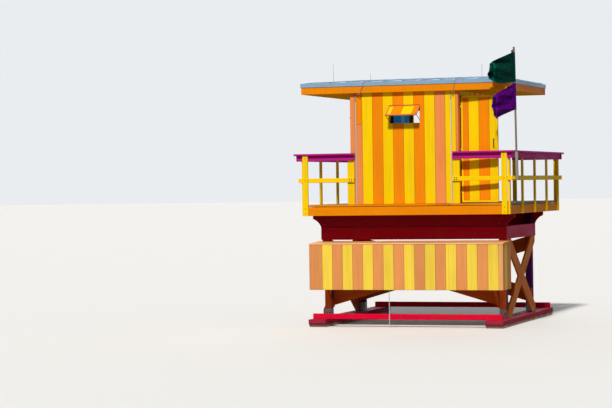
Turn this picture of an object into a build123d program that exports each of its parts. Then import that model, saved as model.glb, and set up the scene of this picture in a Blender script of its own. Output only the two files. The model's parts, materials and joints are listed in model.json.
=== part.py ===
from build123d import *
import math
import os

# Lifeguard tower on skids. Millimetres. X runs along the front, Y runs back towards the sea,
# Z is up, and the origin is on the ground in the middle of the tower's plan.

# Lumber: thickness of a two-inch board, and the widths used
board_t = 38
post_side = 140
brace_w = 286
joist_h = 184
rail_w = 89
corner_post_w = 115

# Skids and the rails that tie them together
skid_w = 362
skid_h = 155
skid_side_over = 72
skid_front_over = 100
skid_tail = 1305
cross_rail_h = 110
cross_rail_t = 89
cross_rail_over = 25
cross_rail_setback = 59
cross_rail_end = 60

# Base frame: legs, girders and cross bracing
base_w = 3910
base_setback = 575
base_depth = 2600
girder_t = 76
girder_h = 505
side_girder_h = 259
flare_reach = 175
flare_edge = 75
flare_bow_x = 0.38
flare_bow_z = 0.62
shoe_h = 180
end_brace_rise = 186
end_brace_drop = 152
side_brace_rise = 30

# Deck
deck_front_y = -2127
deck_side_over = 3.5
deck_d = 4615
deck_z = 2480
deck_t = 38
joist_count = 11

# Storage box below the front edge of the deck
box_side_over = 68
box_top_gap = 28
box_front_h = 942
box_wall = 19
box_lid_t = 22
box_lid_rise = 30
box_lid_over = 12
strut_w = 89
strut_low_z = 365
strut_reach = 400

# Cabin
cabin_w = 2260
cabin_d = 2440
cabin_setback = 76
wall_t = 100
cut_over = 1
header_h = 100
window_head = 1955
window_w = 632
window_h = 330
window_off_x = 15
side_window_setback = 1234
lookout_w = 1900
lookout_h = 1050
mullion_w = 80
mullion_x = 530
frame_t = 60
glass_t = 6
flap_t = 20
flap_drop = 330
flap_angle = 55
flap_gap = 12
stay_share = 0.9
stay_t = 6
stay_w = 14
stay_low = 60

# Door in the right wall, hung on its front jamb and stored open
door_w = 762
door_h = 2125
door_t = 44
door_gap = 6
door_sill_gap = 20
door_head_gap = 10
hinge_setback = 150
hinge_off = 8
hinge_r = 7
hinge_h = 100
hinge_from_end = 212
hinge_plate_t = 3
hinge_plate_w = 40
knuckle_gap = 0.3
plate_margin = 2
door_open = 94
panel_inset = 38
panel_recess = 6
handle_r = 8
handle_bend = 16
handle_h = 160
handle_stand = 45
handle_z = 1115
handle_from_edge = 80

# Roof
roof_d = 3460
roof_side_over = 11.5
roof_front_over = 11
fascia_h = 140
fascia_drop = 5
soffit_t = 12
roof_edge_h = 80
roof_edge_over = 12
roof_rise = 115
roof_t = 30
hip_inset_x = 700

# Lightning rods on the roof and the conduits down the front wall
rod_r = 7
rod_taper = 0.5
rod_tall = 390
rod_short = 290
rod_stub = 150
rod_from_end = 585
rod_from_front = 345
stub_from_end = 945
conduit_r = 11
conduit_from_left = 118
conduit_from_right = 146
conduit_top_gap = 45
lead_r = 6
left_lead_drift = 110
right_lead_drift = 60
lead_in = 135
box_rod_x = -350
box_rod_r = 8

# Railings
rail_top = 1040
cap_t = 38
cap_side_over = 62
cap_end_over = 25
left_over = 42
low_board_h = 114
mid_rail_z = 495
rail_end_over = 100
end_board_w = 145
left_board_in = 82
right_board_in = 125
front_cap_in = 100
side_posts = 5

# Flagpole and flags
pole_r = 20
pole_h = 2040
pole_lean = 27
sleeve_wall = 10
sleeve_h = 540
sleeve_fit = 0.3
sleeve_drop = 35
flag_w = 640
flag_h = 600
flag_t = 4
flag_angle = 50
flag_wave = 25
flag_stations = 8
green_drop = 125
purple_drop = 735

# Worked out from the values above
base_half = base_w / 2
flare_top_x = base_half + flare_reach
half_w = flare_top_x + deck_side_over
deck_w = 2 * half_w
front_y = deck_front_y
rear_y = front_y + deck_d
deck_mid_y = front_y + deck_d / 2
rim_bottom_z = deck_z - deck_t - joist_h
rim_top_z = deck_z - deck_t
base_front_y = front_y + base_setback
base_rear_y = base_front_y + base_depth
skid_front_y = front_y - skid_front_over
skid_rear_y = base_rear_y + skid_tail
leg_outer_x = base_half - board_t
leg_x = leg_outer_x - post_side / 2
leg_front_y = base_front_y + girder_t + post_side / 2
leg_rear_y = base_rear_y - girder_t - post_side / 2
shoe_top_z = skid_h + shoe_h
girder_top_z = rim_bottom_z
girder_bottom_z = girder_top_z - girder_h
side_girder_top_z = girder_bottom_z + side_girder_h
cabin_half = cabin_w / 2
cabin_front_y = front_y + cabin_setback
cabin_rear_y = cabin_front_y + cabin_d
wall_top_z = deck_z + door_sill_gap + door_h + door_head_gap + header_h
side_window_y = front_y + side_window_setback
hinge_x = cabin_half + hinge_off
hinge_y = cabin_front_y + hinge_setback
doorway_l = door_w + 2 * door_gap
doorway_top_z = wall_top_z - header_h
roof_w = deck_w + 2 * roof_side_over
roof_front_y = front_y - roof_front_over
roof_mid_y = roof_front_y + roof_d / 2
fascia_bottom_z = wall_top_z - fascia_drop
fascia_top_z = fascia_bottom_z + fascia_h
roof_edge_z = fascia_top_z + roof_edge_h
rail_outer = half_w + 2 * board_t
cap_z = deck_z + rail_top
cap_inner_x = half_w - board_t
cap_outer_x = rail_outer + cap_side_over
cap_front_y = front_y - board_t - cap_end_over
cap_rear_y = rear_y + board_t + cap_end_over
rail_front_y = front_y + board_t
rail_rear_y = rear_y - board_t
rail_post_top = cap_z - cap_t
post_bottom_z = rim_bottom_z

os.makedirs("parts", exist_ok=True)


def finish(block, node):
    """Label the finished piece and write it under its node's name."""
    block.part.label = node
    export_step(block.part, f"parts/{node}.step")


def box_between(low, high, mode=Mode.ADD):
    """A block between two opposite corners, in the block under way."""
    size = [b - a for a, b in zip(low, high)]
    middle = tuple((a + b) / 2 for a, b in zip(low, high))
    with Locations(middle):
        Box(*size, mode=mode)


# Skids: two broad timbers with their ends nosed up so they slide on sand
with BuildPart() as skids:
    for side in (-1, 1):
        skid_x = side * (base_half + skid_side_over - skid_w / 2)
        with BuildSketch(Plane.YZ.offset(skid_x - skid_w / 2)):
            with BuildLine():
                Polyline(
                    (skid_front_y + skid_h / 2, 0),
                    (skid_rear_y - skid_h / 2, 0),
                    (skid_rear_y, skid_h / 2),
                    (skid_rear_y, skid_h),
                    (skid_front_y, skid_h),
                    (skid_front_y, skid_h / 2),
                    close=True,
                )
            make_face()
        extrude(amount=skid_w)
finish(skids, "skids")

cross_rail_half = base_half + cross_rail_over
with BuildPart() as cross_rails:
    for low_y in (
        front_y + cross_rail_setback,
        skid_rear_y - cross_rail_end - cross_rail_t,
    ):
        box_between(
            (-cross_rail_half, low_y, skid_h),
            (cross_rail_half, low_y + cross_rail_t, skid_h + cross_rail_h),
        )
finish(cross_rails, "cross_rails")

# Legs stand in metal shoes on the skids
with BuildPart() as leg_shoes:
    for shoe_x in (-leg_x, leg_x):
        for shoe_y in (leg_front_y, leg_rear_y):
            with BuildSketch(Plane.XY.offset(skid_h)):
                with Locations((shoe_x, shoe_y)):
                    Rectangle(post_side, post_side)
            extrude(amount=shoe_h)
finish(leg_shoes, "leg_shoes")

with BuildPart() as legs:
    with BuildSketch(Plane.XY.offset(shoe_top_z)):
        with Locations(
            (-leg_x, leg_front_y),
            (leg_x, leg_front_y),
            (-leg_x, leg_rear_y),
            (leg_x, leg_rear_y),
        ):
            Rectangle(post_side, post_side)
    extrude(amount=girder_top_z - shoe_top_z)
finish(legs, "legs")

# Front and rear girders sweep out at the top to carry the deck's side edges
flare_rise = girder_top_z - flare_edge - side_girder_top_z
flare_mid_x = base_half + flare_reach * flare_bow_x
flare_mid_z = side_girder_top_z + flare_rise * flare_bow_z
with BuildPart() as end_girders:
    for girder_y in (base_front_y, base_rear_y - girder_t):
        with BuildSketch(Plane.XZ.offset(-girder_y - girder_t)):
            with BuildLine():
                Polyline(
                    (-base_half, side_girder_top_z),
                    (-base_half, girder_bottom_z),
                    (base_half, girder_bottom_z),
                    (base_half, side_girder_top_z),
                )
                ThreePointArc(
                    (base_half, side_girder_top_z),
                    (flare_mid_x, flare_mid_z),
                    (flare_top_x, girder_top_z - flare_edge),
                )
                Polyline(
                    (flare_top_x, girder_top_z - flare_edge),
                    (flare_top_x, girder_top_z),
                    (-flare_top_x, girder_top_z),
                    (-flare_top_x, girder_top_z - flare_edge),
                )
                ThreePointArc(
                    (-flare_top_x, girder_top_z - flare_edge),
                    (-flare_mid_x, flare_mid_z),
                    (-base_half, side_girder_top_z),
                )
            make_face()
        extrude(amount=girder_t)
finish(end_girders, "end_girders")

with BuildPart() as side_girders:
    for side in (-1, 1):
        girder_x = side * (leg_outer_x + board_t / 2)
        box_between(
            (girder_x - board_t / 2, base_front_y + girder_t, girder_bottom_z),
            (girder_x + board_t / 2, base_rear_y - girder_t, side_girder_top_z),
        )
finish(side_girders, "side_girders")


def brace_board(plane, start, end, low, high, lap_toward):
    """A board along start-end, trimmed to the rectangle low-high, half-lapped at its middle.

    The board is board_t thick from the plane along its normal, and the lap takes the half
    that lies toward (1) or away from (-1) the normal.
    """
    run = math.hypot(end[0] - start[0], end[1] - start[1])
    tilt = math.degrees(math.atan2(end[1] - start[1], end[0] - start[0]))
    middle = ((start[0] + end[0]) / 2, (start[1] + end[1]) / 2)
    with BuildSketch(plane) as board:
        with Locations(middle):
            Rectangle(run + 2 * brace_w, brace_w, rotation=tilt)
        with Locations(((low[0] + high[0]) / 2, (low[1] + high[1]) / 2)):
            Rectangle(high[0] - low[0], high[1] - low[1], mode=Mode.INTERSECT)
    extrude(board.sketch, amount=board_t)
    lap_offset = board_t / 2 if lap_toward > 0 else 0
    with BuildSketch(plane.offset(lap_offset)) as lap:
        with Locations(middle):
            Rectangle(run + 2 * brace_w, brace_w, rotation=-tilt)
            Rectangle(run + 2 * brace_w, brace_w, rotation=tilt, mode=Mode.INTERSECT)
    extrude(lap.sketch, amount=board_t / 2, mode=Mode.SUBTRACT)


# End bracing lies on the inner faces of the legs, and side bracing on their outer faces
end_plane_y = (leg_front_y + post_side / 2, leg_rear_y - post_side / 2 - board_t)
end_low = (-leg_outer_x, shoe_top_z - board_t)
end_high = (leg_outer_x, girder_bottom_z)
for brace_node, rising in (("end_braces_rising", 1), ("end_braces_falling", -1)):
    with BuildPart() as end_braces:
        for inner_y in end_plane_y:
            brace_board(
                Plane.XZ.offset(-inner_y - board_t),
                (-leg_x * rising, shoe_top_z + end_brace_rise),
                (leg_x * rising, girder_bottom_z - end_brace_drop),
                end_low,
                end_high,
                rising,
            )
    finish(end_braces, brace_node)

side_low = (base_front_y + girder_t, skid_h)
side_high = (base_rear_y - girder_t, girder_bottom_z)
for brace_node, rising in (("side_braces_rising", 1), ("side_braces_falling", -1)):
    with BuildPart() as side_braces:
        for inner_x in (-leg_outer_x - board_t, leg_outer_x):
            low_y, high_y = (leg_front_y, leg_rear_y) if rising > 0 else (leg_rear_y, leg_front_y)
            brace_board(
                Plane.YZ.offset(inner_x),
                (low_y, skid_h + side_brace_rise),
                (high_y, girder_bottom_z),
                side_low,
                side_high,
                rising,
            )
    finish(side_braces, brace_node)

# Deck: rim boards, joists and the boards on top
with BuildPart() as deck_rim:
    with BuildSketch(Plane.XY.offset(rim_bottom_z)):
        with Locations((0, deck_mid_y)):
            Rectangle(deck_w, deck_d)
            Rectangle(deck_w - 2 * board_t, deck_d - 2 * board_t, mode=Mode.SUBTRACT)
    extrude(amount=joist_h)
finish(deck_rim, "deck_rim")

with BuildPart() as deck_joists:
    joist_pitch = (deck_w - 2 * board_t) / (joist_count + 1)
    with BuildSketch(Plane.XY.offset(rim_bottom_z)):
        with Locations((0, deck_mid_y)):
            with GridLocations(joist_pitch, 1, joist_count, 1):
                Rectangle(board_t, deck_d - 2 * board_t)
    extrude(amount=joist_h)
finish(deck_joists, "deck_joists")

with BuildPart() as deck_floor:
    with BuildSketch(Plane.XY.offset(rim_top_z)):
        with Locations((0, deck_mid_y)):
            Rectangle(deck_w, deck_d)
    extrude(amount=deck_t)
finish(deck_floor, "deck_floor")

# Storage box: open at the top, its back higher than its front, closed by a sloping lid
box_w = base_w + 2 * box_side_over
box_back_y = base_front_y + girder_t
box_bottom_z = girder_bottom_z - box_top_gap - box_lid_rise - box_front_h
box_top_z = box_bottom_z + box_front_h - box_lid_t
with BuildPart() as storage_box:
    with BuildSketch(Plane.YZ.offset(-box_w / 2)):
        with BuildLine():
            Polyline(
                (front_y, box_bottom_z),
                (box_back_y, box_bottom_z),
                (box_back_y, box_top_z + box_lid_rise),
                (front_y, box_top_z),
                close=True,
            )
        make_face()
    extrude(amount=box_w)
    with BuildSketch(Plane.XY.offset(box_bottom_z + box_wall)):
        with Locations((0, (front_y + box_back_y) / 2)):
            Rectangle(box_w - 2 * box_wall, box_back_y - front_y - 2 * box_wall)
    extrude(amount=box_front_h + box_lid_rise, mode=Mode.SUBTRACT)
finish(storage_box, "storage_box")

with BuildPart() as box_lid:
    lid_front_y = front_y - box_lid_over
    lid_slope = box_lid_rise / (box_back_y - front_y)
    lid_front_z = box_top_z - box_lid_over * lid_slope
    with BuildSketch(Plane.YZ.offset(-box_w / 2 - box_lid_over)):
        with BuildLine():
            Polyline(
                (lid_front_y, lid_front_z),
                (box_back_y, box_top_z + box_lid_rise),
                (box_back_y, box_top_z + box_lid_rise + box_lid_t),
                (lid_front_y, lid_front_z + box_lid_t),
                close=True,
            )
        make_face()
    extrude(amount=box_w + 2 * box_lid_over)
finish(box_lid, "box_lid")

# Struts on the legs' inner faces that rise forward to carry the box
with BuildPart() as box_struts:
    strut_high_y = leg_front_y - strut_reach
    strut_tilt = math.atan2(box_bottom_z - strut_low_z, strut_reach)
    strut_half = strut_w / 2 / math.sin(strut_tilt)
    for side in (-1, 1):
        strut_x = side * (leg_outer_x - post_side - board_t / 2)
        with BuildSketch(Plane.YZ.offset(strut_x - board_t / 2)):
            with BuildLine():
                Polyline(
                    (leg_front_y - strut_half, strut_low_z),
                    (leg_front_y + strut_half, strut_low_z),
                    (strut_high_y + strut_half, box_bottom_z),
                    (strut_high_y - strut_half, box_bottom_z),
                    close=True,
                )
            make_face()
        extrude(amount=board_t)
finish(box_struts, "box_struts")

# Cabin walls: front and rear run the full width, the sides stand between them
side_inner_y = (cabin_front_y + wall_t, cabin_rear_y - wall_t)
window_high_z = deck_z + window_head
window_low_z = window_high_z - window_h

# The front wall is split at its window: below and above it, with a pier on each side
front_wall_y = (cabin_front_y, cabin_front_y + wall_t)
with BuildPart() as front_wall:
    for low_z, high_z in ((deck_z, window_low_z), (window_high_z, wall_top_z)):
        box_between(
            (-cabin_half, front_wall_y[0], low_z),
            (cabin_half, front_wall_y[1], high_z),
        )
finish(front_wall, "front_wall")

with BuildPart() as front_piers:
    for low_x, high_x in (
        (-cabin_half, window_off_x - window_w / 2),
        (window_off_x + window_w / 2, cabin_half),
    ):
        box_between(
            (low_x, front_wall_y[0], window_low_z),
            (high_x, front_wall_y[1], window_high_z),
        )
finish(front_piers, "front_piers")

with BuildPart() as left_wall:
    box_between(
        (-cabin_half, side_inner_y[0], deck_z),
        (-cabin_half + wall_t, side_inner_y[1], wall_top_z),
    )
    box_between(
        (-cabin_half - cut_over, side_window_y - window_w / 2, window_low_z),
        (-cabin_half + wall_t + cut_over, side_window_y + window_w / 2, window_high_z),
        mode=Mode.SUBTRACT,
    )
finish(left_wall, "left_wall")

lookout_low_z = window_high_z - lookout_h
with BuildPart() as rear_wall:
    box_between(
        (-cabin_half, cabin_rear_y - wall_t, deck_z),
        (cabin_half, cabin_rear_y, wall_top_z),
    )
    box_between(
        (-lookout_w / 2, cabin_rear_y - wall_t - cut_over, lookout_low_z),
        (lookout_w / 2, cabin_rear_y + cut_over, window_high_z),
        mode=Mode.SUBTRACT,
    )
finish(rear_wall, "rear_wall")

# The right wall is split at the doorway: beside it on both sides, and over it
doorway_rear_y = hinge_y + doorway_l
with BuildPart() as right_wall:
    box_between(
        (cabin_half - wall_t, doorway_rear_y, deck_z),
        (cabin_half, side_inner_y[1], wall_top_z),
    )
finish(right_wall, "right_wall")

with BuildPart() as door_post:
    box_between(
        (cabin_half - wall_t, side_inner_y[0], deck_z),
        (cabin_half, hinge_y, wall_top_z),
    )
finish(door_post, "door_post")

with BuildPart() as door_header:
    box_between(
        (cabin_half - wall_t, hinge_y, doorway_top_z),
        (cabin_half, doorway_rear_y, wall_top_z),
    )
finish(door_header, "door_header")

# Mullions split the lookout window in three. The outer lights are glazed, the middle is open
with BuildPart() as lookout_mullions:
    mullion_y = cabin_rear_y - wall_t / 2
    with BuildSketch(Plane.XY.offset(lookout_low_z)):
        with Locations((-mullion_x, mullion_y), (mullion_x, mullion_y)):
            Rectangle(mullion_w, frame_t)
    extrude(amount=lookout_h)
finish(lookout_mullions, "lookout_mullions")

with BuildPart() as lookout_glass:
    for side in (-1, 1):
        edges = sorted((side * lookout_w / 2, side * (mullion_x + mullion_w / 2)))
        box_between(
            (edges[0], mullion_y - glass_t / 2, lookout_low_z),
            (edges[1], mullion_y + glass_t / 2, window_high_z),
        )
finish(lookout_glass, "lookout_glass")

# Flaps hinged at the head of the small windows and propped open on stays
flap_lean = math.radians(flap_angle)
flap_out = flap_drop * math.sin(flap_lean)
flap_down = flap_drop * math.cos(flap_lean)
flap_width = window_w + 2 * flap_gap


def flap_profile(plane, along):
    """The flap's slanted section, drawn outward from the wall face, run along the window."""
    with BuildSketch(plane) as section:
        with BuildLine():
            Polyline(
                (0, window_high_z),
                (flap_out, window_high_z - flap_down),
                (flap_out + flap_t * math.cos(flap_lean),
                 window_high_z - flap_down + flap_t * math.sin(flap_lean)),
                (0, window_high_z + flap_t / math.sin(flap_lean)),
                close=True,
            )
        make_face()
    extrude(section.sketch, amount=along)


front_flap_plane = Plane(
    origin=(window_off_x + flap_width / 2, cabin_front_y, 0), x_dir=(0, -1, 0), z_dir=(-1, 0, 0)
)
left_flap_plane = Plane(
    origin=(-cabin_half, side_window_y - flap_width / 2, 0), x_dir=(-1, 0, 0), z_dir=(0, 1, 0)
)
with BuildPart() as window_flaps:
    flap_profile(front_flap_plane, flap_width)
    flap_profile(left_flap_plane, flap_width)
finish(window_flaps, "window_flaps")

stay_from_head = stay_share * flap_drop


def stay_profile(plane):
    """A flat bar from the wall under the window's head to the flap's underside."""
    wall_z = window_low_z + stay_low
    near = (stay_from_head * math.sin(flap_lean), stay_from_head * math.cos(flap_lean))
    far_length = stay_from_head + stay_w
    far = (far_length * math.sin(flap_lean), far_length * math.cos(flap_lean))
    with BuildSketch(plane) as section:
        with BuildLine():
            Polyline(
                (0, wall_z),
                (0, wall_z - stay_w),
                (far[0], window_high_z - far[1]),
                (near[0], window_high_z - near[1]),
                close=True,
            )
        make_face()
    extrude(section.sketch, amount=stay_t)


stay_edge = (flap_gap - stay_t) / 2
with BuildPart() as flap_stays:
    for flap_plane in (front_flap_plane, left_flap_plane):
        for along in (stay_edge, flap_width - stay_edge - stay_t):
            stay_profile(flap_plane.offset(along))
finish(flap_stays, "flap_stays")

# Door leaf, drawn closed about its hinge axis and turned open. Each hinge has a middle
# knuckle on the leaf and one above and below it on the wall
open_turn = math.radians(door_open)
leaf_x_dir = (math.cos(open_turn), -math.sin(open_turn), 0)
leaf_y_dir = (math.sin(open_turn), math.cos(open_turn), 0)
leaf_plane = Plane(origin=(hinge_x, hinge_y, 0), x_dir=leaf_x_dir, z_dir=(0, 0, 1))
leaf_low_z = deck_z + door_sill_gap
leaf_mid = door_gap + door_w / 2
knuckle_h = hinge_h / 3
plate_clear = hinge_r + plate_margin
hinge_low_z = [
    leaf_low_z + mid - hinge_h / 2 for mid in (hinge_from_end, door_h / 2, door_h - hinge_from_end)
]
with BuildPart() as door_leaf:
    with BuildSketch(leaf_plane.offset(leaf_low_z)):
        with Locations((-hinge_off - door_t / 2, leaf_mid)):
            Rectangle(door_t, door_w)
    extrude(amount=door_h)
    with BuildSketch(leaf_plane.offset(leaf_low_z + panel_inset)):
        with Locations(
            (-hinge_off - panel_recess / 2, leaf_mid),
            (-hinge_off - door_t + panel_recess / 2, leaf_mid),
        ):
            Rectangle(panel_recess, door_w - 2 * panel_inset)
    extrude(amount=door_h - 2 * panel_inset, mode=Mode.SUBTRACT)
    for low_z in hinge_low_z:
        with BuildSketch(leaf_plane.offset(low_z + knuckle_h + knuckle_gap)):
            Circle(hinge_r)
            with Locations((-hinge_off + hinge_plate_t / 2, hinge_plate_w / 2)):
                Rectangle(hinge_plate_t, hinge_plate_w)
        extrude(amount=knuckle_h - 2 * knuckle_gap)
        with BuildSketch(leaf_plane.offset(low_z)):
            with Locations((-hinge_off + hinge_plate_t / 2, (hinge_plate_w + plate_clear) / 2)):
                Rectangle(hinge_plate_t, hinge_plate_w - plate_clear)
        extrude(amount=hinge_h)
finish(door_leaf, "door_leaf")

# Pull handle: a bent bar standing off the leaf's outer face
handle_along = door_gap + door_w - handle_from_edge
handle_out = -hinge_off - panel_recess
handle_origin = tuple(
    base + handle_out * a + handle_along * b
    for base, a, b in zip(
        (hinge_x, hinge_y, deck_z + handle_z), leaf_x_dir, leaf_y_dir
    )
)
handle_plane = Plane(
    origin=handle_origin, x_dir=leaf_x_dir, z_dir=(-leaf_y_dir[0], -leaf_y_dir[1], 0)
)
with BuildPart() as door_handle:
    with BuildLine(handle_plane) as handle_path:
        FilletPolyline(
            (0, 0),
            (handle_stand, 0),
            (handle_stand, handle_h),
            (0, handle_h),
            radius=handle_bend,
        )
    with BuildSketch(Plane(origin=handle_path.line @ 0, z_dir=handle_path.line % 0)):
        Circle(handle_r)
    sweep()
finish(door_handle, "door_handle")

# Wall side of the hinges: two knuckles on the axis joined by a plate on the wall's face
with BuildPart() as door_hinges:
    for low_z in hinge_low_z:
        for knuckle_z in (low_z, low_z + 2 * knuckle_h):
            with BuildSketch(Plane.XY.offset(knuckle_z)):
                with Locations((hinge_x, hinge_y)):
                    Circle(hinge_r)
                with Locations((cabin_half + hinge_plate_t / 2, hinge_y - hinge_plate_w / 2)):
                    Rectangle(hinge_plate_t, hinge_plate_w)
            extrude(amount=knuckle_h)
        plate_mid_y = hinge_y - (hinge_plate_w + plate_clear) / 2
        with BuildSketch(Plane.XY.offset(low_z)):
            with Locations((cabin_half + hinge_plate_t / 2, plate_mid_y)):
                Rectangle(hinge_plate_t, hinge_plate_w - plate_clear)
        extrude(amount=hinge_h)
finish(door_hinges, "door_hinges")

# Roof: soffit, fascia ring, and a low hipped sheet with a turned-down edge
with BuildPart() as soffit:
    with BuildSketch(Plane.XY.offset(wall_top_z)):
        with Locations((0, roof_mid_y)):
            Rectangle(roof_w - 2 * board_t, roof_d - 2 * board_t)
    extrude(amount=soffit_t)
finish(soffit, "soffit")

with BuildPart() as roof_fascia:
    with BuildSketch(Plane.XY.offset(fascia_bottom_z)):
        with Locations((0, roof_mid_y)):
            Rectangle(roof_w, roof_d)
            Rectangle(roof_w - 2 * board_t, roof_d - 2 * board_t, mode=Mode.SUBTRACT)
    extrude(amount=fascia_h)
finish(roof_fascia, "roof_fascia")

ridge_l = roof_w - 2 * hip_inset_x
ridge_top_z = roof_edge_z + roof_rise


def hip_form(width, depth, low_z, edge_z, ridge_z, mode=Mode.ADD):
    """Upright edges from low_z to edge_z, then four slopes that meet in a ridge."""
    with BuildSketch(Plane.XY.offset(low_z)) as edge:
        with Locations((0, roof_mid_y)):
            Rectangle(width, depth)
    extrude(edge.sketch, amount=edge_z - low_z, mode=mode)
    with BuildSketch(Plane.XY.offset(edge_z)) as eaves:
        with Locations((0, roof_mid_y)):
            Rectangle(width, depth)
    with BuildSketch(Plane.XY.offset(ridge_z)) as ridge:
        with Locations((0, roof_mid_y)):
            Rectangle(ridge_l, roof_t)
    loft([eaves.sketch, ridge.sketch], mode=mode)


with BuildPart() as roof:
    hip_form(
        roof_w + 2 * roof_edge_over,
        roof_d + 2 * roof_edge_over,
        fascia_top_z,
        roof_edge_z,
        ridge_top_z,
    )
    hip_form(
        roof_w - 2 * board_t,
        roof_d - 2 * board_t,
        fascia_top_z,
        roof_edge_z - roof_t,
        ridge_top_z - roof_t,
        mode=Mode.SUBTRACT,
    )
finish(roof, "roof")


def roof_height(x, y):
    """Height of the roof's upper surface above the point x, y."""
    half_span = (roof_d / 2 + roof_edge_over) - roof_t / 2
    from_front = (roof_d / 2 + roof_edge_over) - abs(y - roof_mid_y)
    from_end = roof_w / 2 + roof_edge_over - abs(x)
    share = min(from_front / half_span, from_end / (hip_inset_x + roof_edge_over), 1)
    return roof_edge_z + roof_rise * share


# Lightning rods: two tall ones near the front corners and a bent stub on the ridge
rod_x = roof_w / 2 - rod_from_end
stub_x = roof_w / 2 - stub_from_end
rod_y = roof_front_y + rod_from_front
with BuildPart() as lightning_rods:
    for x, y, height in (
        (-rod_x, rod_y, rod_tall),
        (rod_x, rod_y, rod_short),
        (-stub_x, roof_mid_y, rod_stub),
    ):
        foot_z = roof_height(x, y) + rod_r * roof_rise / (roof_d / 2)
        with BuildSketch(Plane.XY.offset(foot_z)):
            with Locations((x, y)):
                Circle(rod_r)
        extrude(amount=height, taper=rod_taper)
finish(lightning_rods, "lightning_rods")

# Down conductors: a conduit up the wall, and a lead that bends out over the roof's edge
conduit_y = cabin_front_y - conduit_r
conduit_top_z = fascia_bottom_z - conduit_top_gap
lead_out_y = roof_front_y - roof_edge_over - lead_r
lead_in_y = roof_front_y + lead_in
with BuildPart() as down_conductors:
    for conduit_x, drift in (
        (conduit_from_left - cabin_half, left_lead_drift),
        (cabin_half - conduit_from_right, right_lead_drift),
    ):
        with BuildSketch(Plane.XY.offset(deck_z)):
            with Locations((conduit_x, conduit_y)):
                Circle(conduit_r)
        extrude(amount=conduit_top_z - deck_z)
        bend_x = conduit_x + drift
        edge_x = bend_x + drift
        lead_in_x = edge_x + drift
        with BuildLine() as lead_path:
            FilletPolyline(
                (conduit_x, conduit_y, conduit_top_z),
                (conduit_x, conduit_y, conduit_top_z + 2 * lead_r),
                (bend_x, lead_out_y, conduit_top_z + 4 * lead_r),
                (edge_x, lead_out_y, roof_edge_z + lead_r),
                (lead_in_x, lead_in_y, roof_height(lead_in_x, lead_in_y) + lead_r),
                radius=lead_r,
            )
        with BuildSketch(Plane(origin=lead_path.line @ 0, z_dir=lead_path.line % 0)):
            Circle(lead_r)
        sweep()
    box_rod_y = front_y + cross_rail_setback - box_rod_r
    with BuildSketch(Plane.XY.offset(box_rod_r)):
        with Locations((box_rod_x, box_rod_y)):
            Circle(box_rod_r)
    extrude(amount=box_bottom_z - box_rod_r)
finish(down_conductors, "down_conductors")

# Railings: posts bolted over the rim, with a deep top board and a middle rail. The boards run
# outside the side posts and inside the end posts
low_board_z = rail_post_top - low_board_h
mid_low_z = deck_z + mid_rail_z - rail_w / 2
rail_end_x = half_w + rail_end_over
left_board_x = left_board_in - cabin_half
right_board_x = cabin_half - right_board_in
left_cap_x = -cap_outer_x - left_over
rail_bands = (
    (low_board_z, rail_post_top),
    (mid_low_z, mid_low_z + rail_w),
)
left_ends = (-rail_end_x - left_over, -rail_end_x)
first_post_y = rail_front_y + rail_w / 2
last_post_y = rail_rear_y - rail_w / 2

# Uprights: side posts, front corner posts, boards at the cabin's corners, and rear posts
with BuildPart() as rail_posts:
    post_pitch = (last_post_y - first_post_y) / (side_posts - 1)
    with BuildSketch(Plane.XY.offset(post_bottom_z)):
        for side in (-1, 1):
            with Locations((side * (half_w + board_t / 2), deck_mid_y)):
                with GridLocations(1, post_pitch, 1, side_posts):
                    Rectangle(board_t, rail_w)
            with Locations((side * (half_w - corner_post_w / 2), front_y - board_t / 2)):
                Rectangle(corner_post_w, board_t)
            with Locations(
                (side * (cabin_half + rail_w / 2), rear_y + board_t / 2),
                (side * (half_w - rail_w / 2), rear_y + board_t / 2),
            ):
                Rectangle(rail_w, board_t)
    extrude(amount=rail_post_top - post_bottom_z)
    for inner_x in (left_board_x - end_board_w, right_board_x):
        box_between(
            (inner_x, rail_front_y, deck_z),
            (inner_x + end_board_w, cabin_front_y, rail_post_top),
        )
finish(rail_posts, "rail_posts")

with BuildPart() as side_rails:
    for low_x in (-rail_outer, rail_outer - board_t):
        for low_z, high_z in rail_bands:
            box_between((low_x, rail_front_y, low_z), (low_x + board_t, rail_rear_y, high_z))
finish(side_rails, "side_rails")

with BuildPart() as end_rails:
    for (low_z, high_z), left_end in zip(rail_bands, left_ends):
        box_between((left_end, front_y, low_z), (left_board_x, rail_front_y, high_z))
        box_between((right_board_x, front_y, low_z), (rail_end_x, rail_front_y, high_z))
        box_between((left_end, rail_rear_y, low_z), (-cabin_half, rear_y, high_z))
        box_between((cabin_half, rail_rear_y, low_z), (rail_end_x, rear_y, high_z))
finish(end_rails, "end_rails")

with BuildPart() as side_caps:
    for x_low, x_high in ((left_cap_x, -cap_inner_x), (cap_inner_x, cap_outer_x)):
        box_between((x_low, rail_front_y, rail_post_top), (x_high, rail_rear_y, cap_z))
finish(side_caps, "side_caps")

with BuildPart() as end_caps:
    for x_low, x_high, y_low, y_high in (
        (left_cap_x, front_cap_in - cabin_half, cap_front_y, rail_front_y),
        (cabin_half - front_cap_in, cap_outer_x, cap_front_y, rail_front_y),
        (left_cap_x, -cabin_half, rail_rear_y, cap_rear_y),
        (cabin_half, cap_outer_x, rail_rear_y, cap_rear_y),
    ):
        box_between((x_low, y_low, rail_post_top), (x_high, y_high, cap_z))
finish(end_caps, "end_caps")

# Flagpole: it stands in a closed sleeve by the right cap's edge, held by a block on the rail
pole_y = first_post_y
sleeve_r = pole_r + sleeve_fit + sleeve_wall
pole_x = cap_outer_x + sleeve_r + sleeve_fit
sleeve_low_z = cap_z - sleeve_drop - sleeve_h
lean_rate = pole_lean / pole_h
pole_top_z = cap_z + pole_h
pole_axis = Vector(-lean_rate, 0, 1).normalized()


def pole_point(z):
    """The point of the pole's axis at height z."""
    return (pole_x - (z - cap_z) * lean_rate, pole_y, z)


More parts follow.
